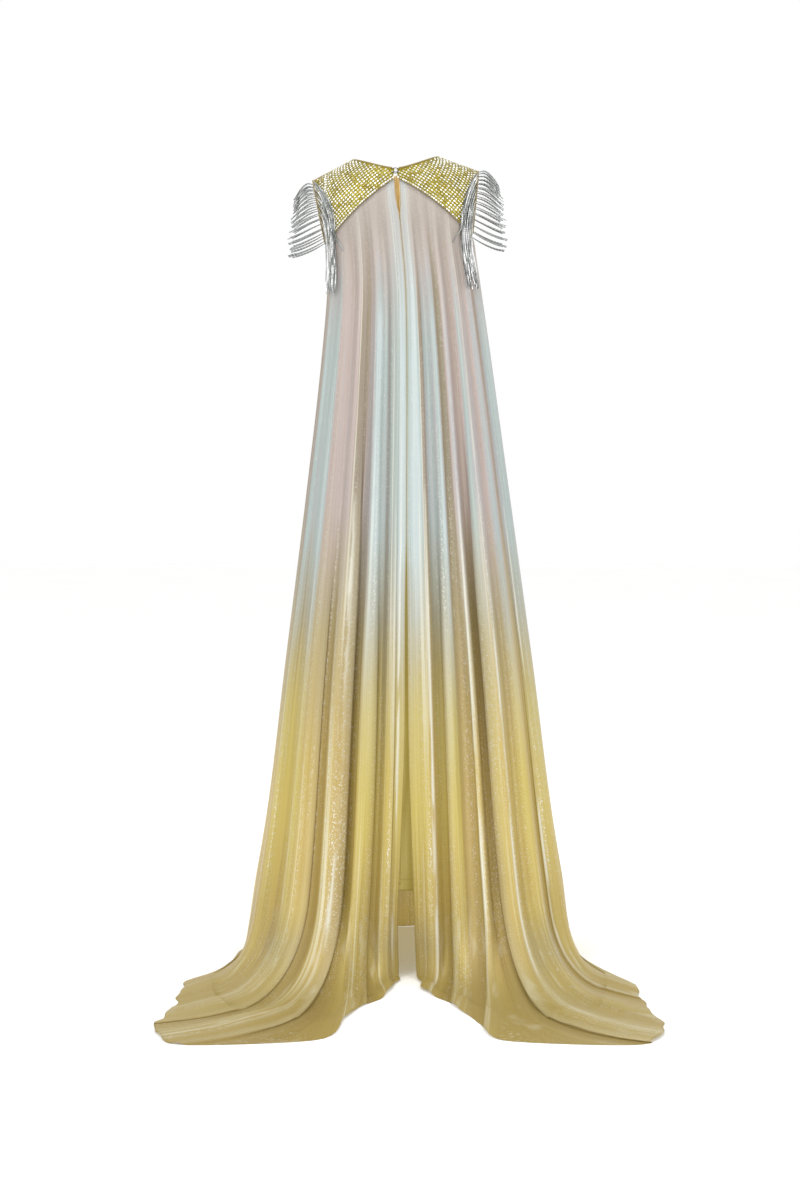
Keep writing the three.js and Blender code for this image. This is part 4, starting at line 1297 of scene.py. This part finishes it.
def smooth_path(points, step):
    """A smooth curve through points, at even steps."""
    ahead = np.concatenate([2 * points[:1] - points[1:2], points, 2 * points[-1:] - points[-2:-1]])
    curve = []
    for a, b, c, d in zip(ahead, ahead[1:], ahead[2:], ahead[3:]):
        for t in np.linspace(0, 1, 14, endpoint=False):
            bend, twist = 2 * a - 5 * b + 4 * c - d, 3 * b - a - 3 * c + d
            curve.append(0.5 * (2 * b + (c - a) * t + bend * t**2 + twist * t**3))
    curve = np.array([*curve, points[-1]])
    length = travelled(curve)
    stops = np.arange(step / 2, length[-1], step)
    ahead, behind = (sampled(stops + reach, length, curve) for reach in (0.4, -0.4))
    return sampled(stops, length, curve), ahead - behind


def fringe(side, facing, bead):
    """The strings of one armhole edge, each of two or three strands of long beads, and their tape."""
    label = f"{'back' if facing < 0 else 'front'}_{SIDES[side]}"
    draw = np.random.default_rng(50 + 3 * side + facing)
    places, ways, tones, sizes = [], [], [], []

    def strand(path, tone, uneven, kind="hanging"):
        centre, way = smooth_path(path, BEAD_LENGTH[kind] + 0.3)
        places.append(centre)
        ways.append(way)
        # The tone wanders along each strand, more towards the end of a hanging one: painted glitter of the beads.
        streaks = np.convolve(draw.normal(0, 1, len(centre) + 4), np.full(5, 5**-0.5), "valid")
        tones.append(held(tone + streaks * np.linspace(*uneven, len(centre))))
        sizes.append(np.tile((BEAD_LENGTH[kind], BEAD_WIDTH[kind], BEAD_WIDTH[kind]), (len(centre), 1)))

    for layer in range(HANGING_LAYERS):
        for slot in range(HANGING_STRINGS):
            path = hanging_string(side, facing, slot, layer)
            for twin in (-0.5, 0.5):
                moved = path.copy()
                moved[2:, 0] += twin * 2.2 + draw.normal(0, 0.15, len(path) - 2)
                moved[2:, 1] += draw.normal(0, 0.2, len(path) - 2)
                moved[-1, 2] += draw.uniform(-7, 7)
                strand(moved, draw.uniform(0.2, 0.92), (0.12, 0.42))
    for index in range(FAN_STRINGS):
        path = fan_string(side, facing, index)
        for twin in (-1, 0, 1):
            moved = path.copy()
            moved[1:, 2] += twin * np.array([0.8, 1.2, 1.5])
            moved[-1, 0] += side * draw.uniform(-4, 1)
            # The lowest of a fan's three strands is dark and the middle one bright: painted shade and highlight
            # across the fan.
            strand(moved, (0.06, 0.62, 0.32)[twin + 1], (0.03, 0.03), "fan")
    if facing < 0:
        for tone in (0.25, 0.6):
            strand(stray_string(side, facing) + (2.2 * tone, 0, 3 * tone), tone, (0.1, 0.1))
    places, ways, tones, sizes = (np.concatenate(part) for part in (places, ways, tones, sizes))
    out = np.tile((0.3, float(facing), 0.2), (len(places), 1))
    strings = copies(f"bead_strings_{label}", bead, places, ways, out, sizes, tones)
    dress(strings, BEADS, "silver_beads", f"fringe_{label}")
    tape = [strip_point(side, down, facing) for down in np.linspace(0.04, 0.98, 40)]
    dress(tube_mesh(f"fringe_tape_{label}", tape, TAPE_RADIUS), PIPING, "silver_beads")


# ---- Stage, light and camera ----
def stage():
    deselect()
    bpy.ops.mesh.primitive_circle_add(vertices=64, radius=14, fill_type="NGON", location=(0, 0, FLOOR * MM))
    floor = bpy.context.object
    floor.name = "studio_floor"
    bpy.ops.object.transform_apply(location=True, rotation=True, scale=True)
    s = Shade("studio_floor")
    grain = s.noise(s.solid_place(3))
    floor.data.materials.append(s.surface(
        Base_Color=s.blend((0.84, 0.84, 0.835, 1), (0.88, 0.88, 0.875, 1), grain),
        Roughness=0.8,
        Emission_Color=(1, 1, 1, 1),
        Emission_Strength=0.12,
    ))
    world = bpy.data.worlds.new("studio")
    world.use_nodes = True
    world.node_tree.nodes["Background"].inputs["Color"].default_value = (1, 1, 1, 1)
    world.node_tree.nodes["Background"].inputs["Strength"].default_value = 1.0
    bpy.context.scene.world = world


def soft_light(name, place, target, size, power):
    light = bpy.data.lights.new(name, "AREA")
    light.shape = "RECTANGLE"
    light.size, light.size_y = size
    light.energy = power
    lamp = add_object(name, light)
    lamp.location = place
    lamp.rotation_euler = (Vector(target) - Vector(place)).to_track_quat("-Z", "Y").to_euler()


def camera():
    lens = bpy.data.cameras.new("camera")
    lens.lens = 63.15
    lens.sensor_width = 36
    lens.sensor_fit = "AUTO"
    lens.clip_end = 100
    view = add_object("camera", lens)
    view.location = (0.0086, -4.095, -0.540)
    view.rotation_euler = (math.radians(85.92), 0, 0)
    bpy.context.scene.camera = view


camera()
stage()
soft_light("key", (-2.2, -3.2, 1.6), (0, 0, -0.7), (1.2, 2.4), 60)
soft_light("fill", (2.6, -2.6, 0.6), (0, 0, -0.8), (0.8, 2.4), 30)
soft_light("top", (0, -0.6, 2.6), (0, 0, -0.7), (2.0, 2.0), 30)
bpy.context.scene.view_settings.view_transform = "Standard"

for panel_side in (-1, 1):
    back_panel(panel_side)
front_panel()
linings()
STONE, ROUND_BEAD, LONG_BEAD = model_stone(), model_bead(8, 0.28), model_bead(6, 0.12)
yokes(STONE, ROUND_BEAD)
for fringe_side in (-1, 1):
    for fringe_facing in (-1, 1):
        fringe(fringe_side, fringe_facing, LONG_BEAD)
for model in (STONE, ROUND_BEAD, LONG_BEAD):
    bpy.data.objects.remove(model)

for node, material in (("neck_button", SILVER), ("neck_loop", LOOP)):
    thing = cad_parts[node]
    thing.data.materials.clear()
    thing.data.materials.append(material)
